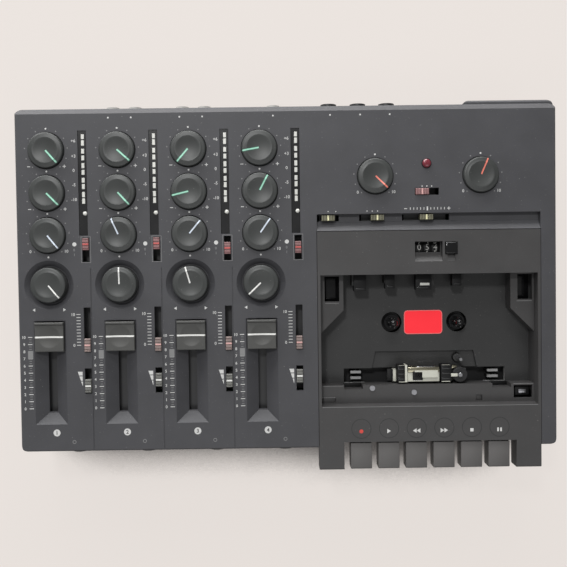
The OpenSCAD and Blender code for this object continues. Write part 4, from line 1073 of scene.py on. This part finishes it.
# %% The scales of channel 1
def channel_scales():
    x = CHANNEL_1
    bright, dim = [], []
    for row, ends in ((83.3, "signs"), (56.7, "signs"), (30.3, "numbers")):
        marks, dots = dial(x, row, ends)
        bright += marks
        dim += dots
    bright += dot(x + 0.1, 16.6, 1.15)
    # the pan knob turns from side to side
    bright += flat([(-1.0, 0), (0.7, 1.05), (0.7, -1.05)][::-1], x - 9.6, -16.4)
    bright += flat([(1.0, 0), (-0.7, -1.05), (-0.7, 1.05)][::-1], x + 9.4, -16.4)
    for words, y in (("+6", 89.1), ("+3", 79.6), ("0", 70.7), ("-5", 61.7), ("-10", 52.5)):
        bright += text(words, x + 17.0, y, 2.7)
    bright += dot(x + 16.5, 24.5, 2.6, 24)
    dim += text("0", x + 16.3, 21.0, 2.3) + text("1", x + 16.4, 18.0, 2.3)
    dim += frame_line(x + 20.6, 12.9, x + 26.7, 29.3, 0.25)
    # the cue slider's ticks
    for number in range(11):
        y = -19.5 - 1.94 * number
        bright += bar(x + 16.9, y - 0.2, x + 19.4, y + 0.2)
    bright += text("10", x + 14.9, -19.5, 2.6) + text("0", x + 15.2, -38.9, 2.6)
    # the gain wedge, in three pieces
    for high, low in ((-55.6, -58.0), (-58.5, -61.3), (-61.8, -64.6)):
        right = x + 20.0
        left_high = right - 3.0 * (high + 64.9) / 9.3
        left_low = right - 3.0 * (low + 64.9) / 9.3
        bright += flat([(left_high, high), (left_low, low), (right, low), (right, high)])
    # the fader's scale: ten numbers, two minor ticks between each pair and a marked field
    for number in range(11):
        y = -33.5 - 4.51 * number
        bright += bar(x - 13.8, y - 0.22, x - 11.1, y + 0.22) + text(str(10 - number), x - 16.3, y, 2.5)
        if number < 10:
            for part in (1, 2):
                dim += bar(x - 13.2, y - part * 1.5 - 0.17, x - 11.6, y - part * 1.5 + 0.17)
    return bright, dim, bar(x - 14.0, -47.1, x - 10.8, -42.1)


bright, dim, field = channel_scales()
first = {"scale": printed("scale_1", bright, white_ink), "ticks": printed("ticks_1", dim, grey_ink),
         "field": printed("field_1", field, grey_ink, height=0.02)}
for channel in (2, 3, 4):
    for kind, piece in first.items():
        twin = copy_of(piece, f"{kind}_{channel}", Vector((channel_x(channel) - CHANNEL_1, 0, 0)))
        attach(twin, "case")
for channel in (1, 2, 3, 4):
    x = channel_x(channel)
    printed(f"number_disc_{channel}", dot(x + 3.1, -94.1, 4.4, 40), white_ink)
    printed(f"number_{channel}", text(str(channel), x + 3.1, -94.1, 3.4, 0.06), dark_ink, height=0.02)
    printed(f"jack_mark_{channel}", ring(x + 14.0, -100.0, 1.0, 0.35), grey_ink)
print("scales:", 4 * 3)

# %% The master section's scales
bright, dim = [], []
for x in (55.7, 121.9):
    marks, dots = dial(x, 64.8, "numbers")
    bright += marks
    dim += dots
for number in range(-5, 6):
    x, tall, wide = 88.3 + 2.14 * number, (0.75 if number else 1.2), (0.2 if number else 0.42)
    bright += bar(x - wide, 44.1 - tall, x + wide, 44.1 + tall)
bright += minus(74.6, 44.1) + plus(101.8, 44.1)
for shift in (-3.0, 0.0, 3.0):
    bright += dot(88.1 + shift, 58.1, 0.8) + dot(53.7 + shift * 1.1, 42.9, 0.7)
for shift in (-2.4, 2.4):
    bright += dot(28.4 + shift, 42.9, 0.7)
for x in (-110.8, -96.5, -66.2, -52.0, -7.8, 27.9, 46.7, 65.2):
    bright += dot(x, 103.2, 1.1)
printed("master_scales", bright, white_ink)
printed("master_ticks", dim, grey_ink)
print("marks of the master section:", len(bright) + len(dim))

# %% The keys' symbols
SYMBOL_Y = -96.0
SYMBOL = 1.45


def triangle(x, y, way):
    reach = way * SYMBOL * 0.8
    return flat([(-reach, SYMBOL), (-reach, -SYMBOL), (reach, 0)], x, y)


symbols = triangle(key_x(1), SYMBOL_Y, 1)
for d in (-1.2, 1.2):
    symbols += triangle(key_x(2) + d, SYMBOL_Y, -1) + triangle(key_x(3) + d, SYMBOL_Y, 1)
symbols += bar(key_x(4) - 1.05, SYMBOL_Y - 1.05, key_x(4) + 1.05, SYMBOL_Y + 1.05)
for d in (-0.95, 0.95):
    symbols += bar(key_x(5) + d - 0.55, SYMBOL_Y - 1.2, key_x(5) + d + 0.55, SYMBOL_Y + 1.2)
printed("key_symbols", symbols, white_ink)
printed("record_symbol", dot(key_x(0), SYMBOL_Y, 2.5, 32), red_ink)
# painted shade: dark rings stand for the shaded rim of a shallow recess round each symbol
rings = []
for index in range(6):
    rings += ring(key_x(index), -94.3, 6.1, 0.3)
printed("key_ring_shades", rings, key_ring_shade)
print("symbols for", len(KEYS), "keys")

# %% [markdown]
# ## The cassette well
#
# On the floor of the well sits a red sticker with a paler rim. It is cut from one sheet, so it is a rounded
# plate with a thinner, smaller plate on it.

# %% Sticker
def rounded_plate(name, low, high, radius, bottom, top, steps=8):
    points = []
    for cx, cy, start in ((high[0] - radius, high[1] - radius, 0), (low[0] + radius, high[1] - radius, 90),
                          (low[0] + radius, low[1] + radius, 180), (high[0] - radius, low[1] + radius, 270)):
        for k in range(steps + 1):
            angle = math.radians(start + 90 * k / steps)
            points.append((cx + radius * math.cos(angle), cy + radius * math.sin(angle), 0))
    return cut_out(name, points, [tuple(range(len(points)))], top - bottom, top)


rim_plate = rounded_plate("sticker_rim", (76.0, -36.6), (101.1, -21.0), 2.4, 38.98, 39.10)
settle(rim_plate, "case", sticker_edge)
inner_plate = rounded_plate("sticker", (76.5, -36.1), (100.6, -21.5), 2.0, 39.05, 39.14)
settle(inner_plate, "case", sticker_red)
print("sticker:", 25.1, "by", 15.6, "mm")

# %% [markdown]
# The openings in the shelf round the well aren't empty. Black plates under the hinge slots and black pads in
# the two notches are painted shade that keeps them dark; a filler lies in the long slot at the front and the
# door's spring catch in its pocket. Thin pale lines along the edges that face backwards are painted
# highlights.

# %% Pads, fillers and the catch
def in_well(name, low, high, finish, bevel=0.15):
    settle(block(name, low, high, bevel), "case", finish, 40)


# painted shade: black plates deep in the hinge slots make them look dark
for side, x0, x1 in (("left", 23.3, 33.3), ("right", 146.7, 156.4)):
    in_well(f"hinge_slot_shade_{side}", (x0, -15.2, 42.0), (x1, 2.2, 42.5), gloss_plastic)
# painted shade: black pads in the notches make them look dark
for side, x0, x1 in (("left", 35.9, 47.5), ("right", 130.7, 142.7)):
    in_well(f"notch_shade_{side}", (x0, -70.5, 39.1), (x1, -68.1, 40.6), black_plastic)
for number, (x0, x1, front) in enumerate(((42.3, 50.3, -7.6), (62.4, 68.5, -6.2), (81.9, 92.0, -7.2),
                                          (105.3, 111.2, -5.0)), 1):
    in_well(f"sensor_{number}", (x0, front, 44.0), (x1, 2.7, 50.3), black_plastic)
    in_well(f"sensor_{number}_lip", (x0 + 1.0, front + 1.2, 50.2), (x1 - 1.0, front + 2.0, 50.6),
            smoke_plastic)
in_well("sensor_bar", (84.6, -4.4, 50.2), (90.6, -2.8, 50.9), segment_white)
in_well("peg_filler", (120.3, -78.6, 48.2), (123.9, -75.4, 49.5), cover_plastic, 0.2)
in_well("slot_filler", (21.0, -79.0, 48.4), (29.7, -76.2, 49.7), cover_plastic, 0.2)
in_well("catch_plate", (146.3, -76.3, 43.8), (155.3, -70.8, 46.4), black_plastic)
in_well("catch_spring", (148.4, -75.0, 46.4), (153.2, -72.4, 47.0), steel, bevel=0.2)
# painted highlights: pale lines along the edges that face the light from behind
edge_highlight_bars = bar(24.0, -15.3, 32.6, -15.0) + bar(146.6, -15.3, 156.2, -15.0)
edge_highlight_bars += bar(22.0, -68.5, 35.0, -68.25) + bar(144.2, -68.5, 157.0, -68.25) + bar(21.0, -75.9, 29.8, -75.65)
printed("painted_edge_highlights", edge_highlight_bars, grey_ink, DOOR_FLOOR)
seams = [mark for x in (36.0, 48.6, 129.5, 143.4) for mark in bar(x - 0.12, -78.5, x + 0.12, -70.9)]
printed("shelf_seams", seams, dark_ink, DOOR_FLOOR)
# painted highlight: a pale line along the front edge of the door recess, which faces the light
printed("recess_edge_highlight", bar(20.9, -80.65, 157.3, -80.4), grey_ink)
print("parts in the shelf's openings:", 18)
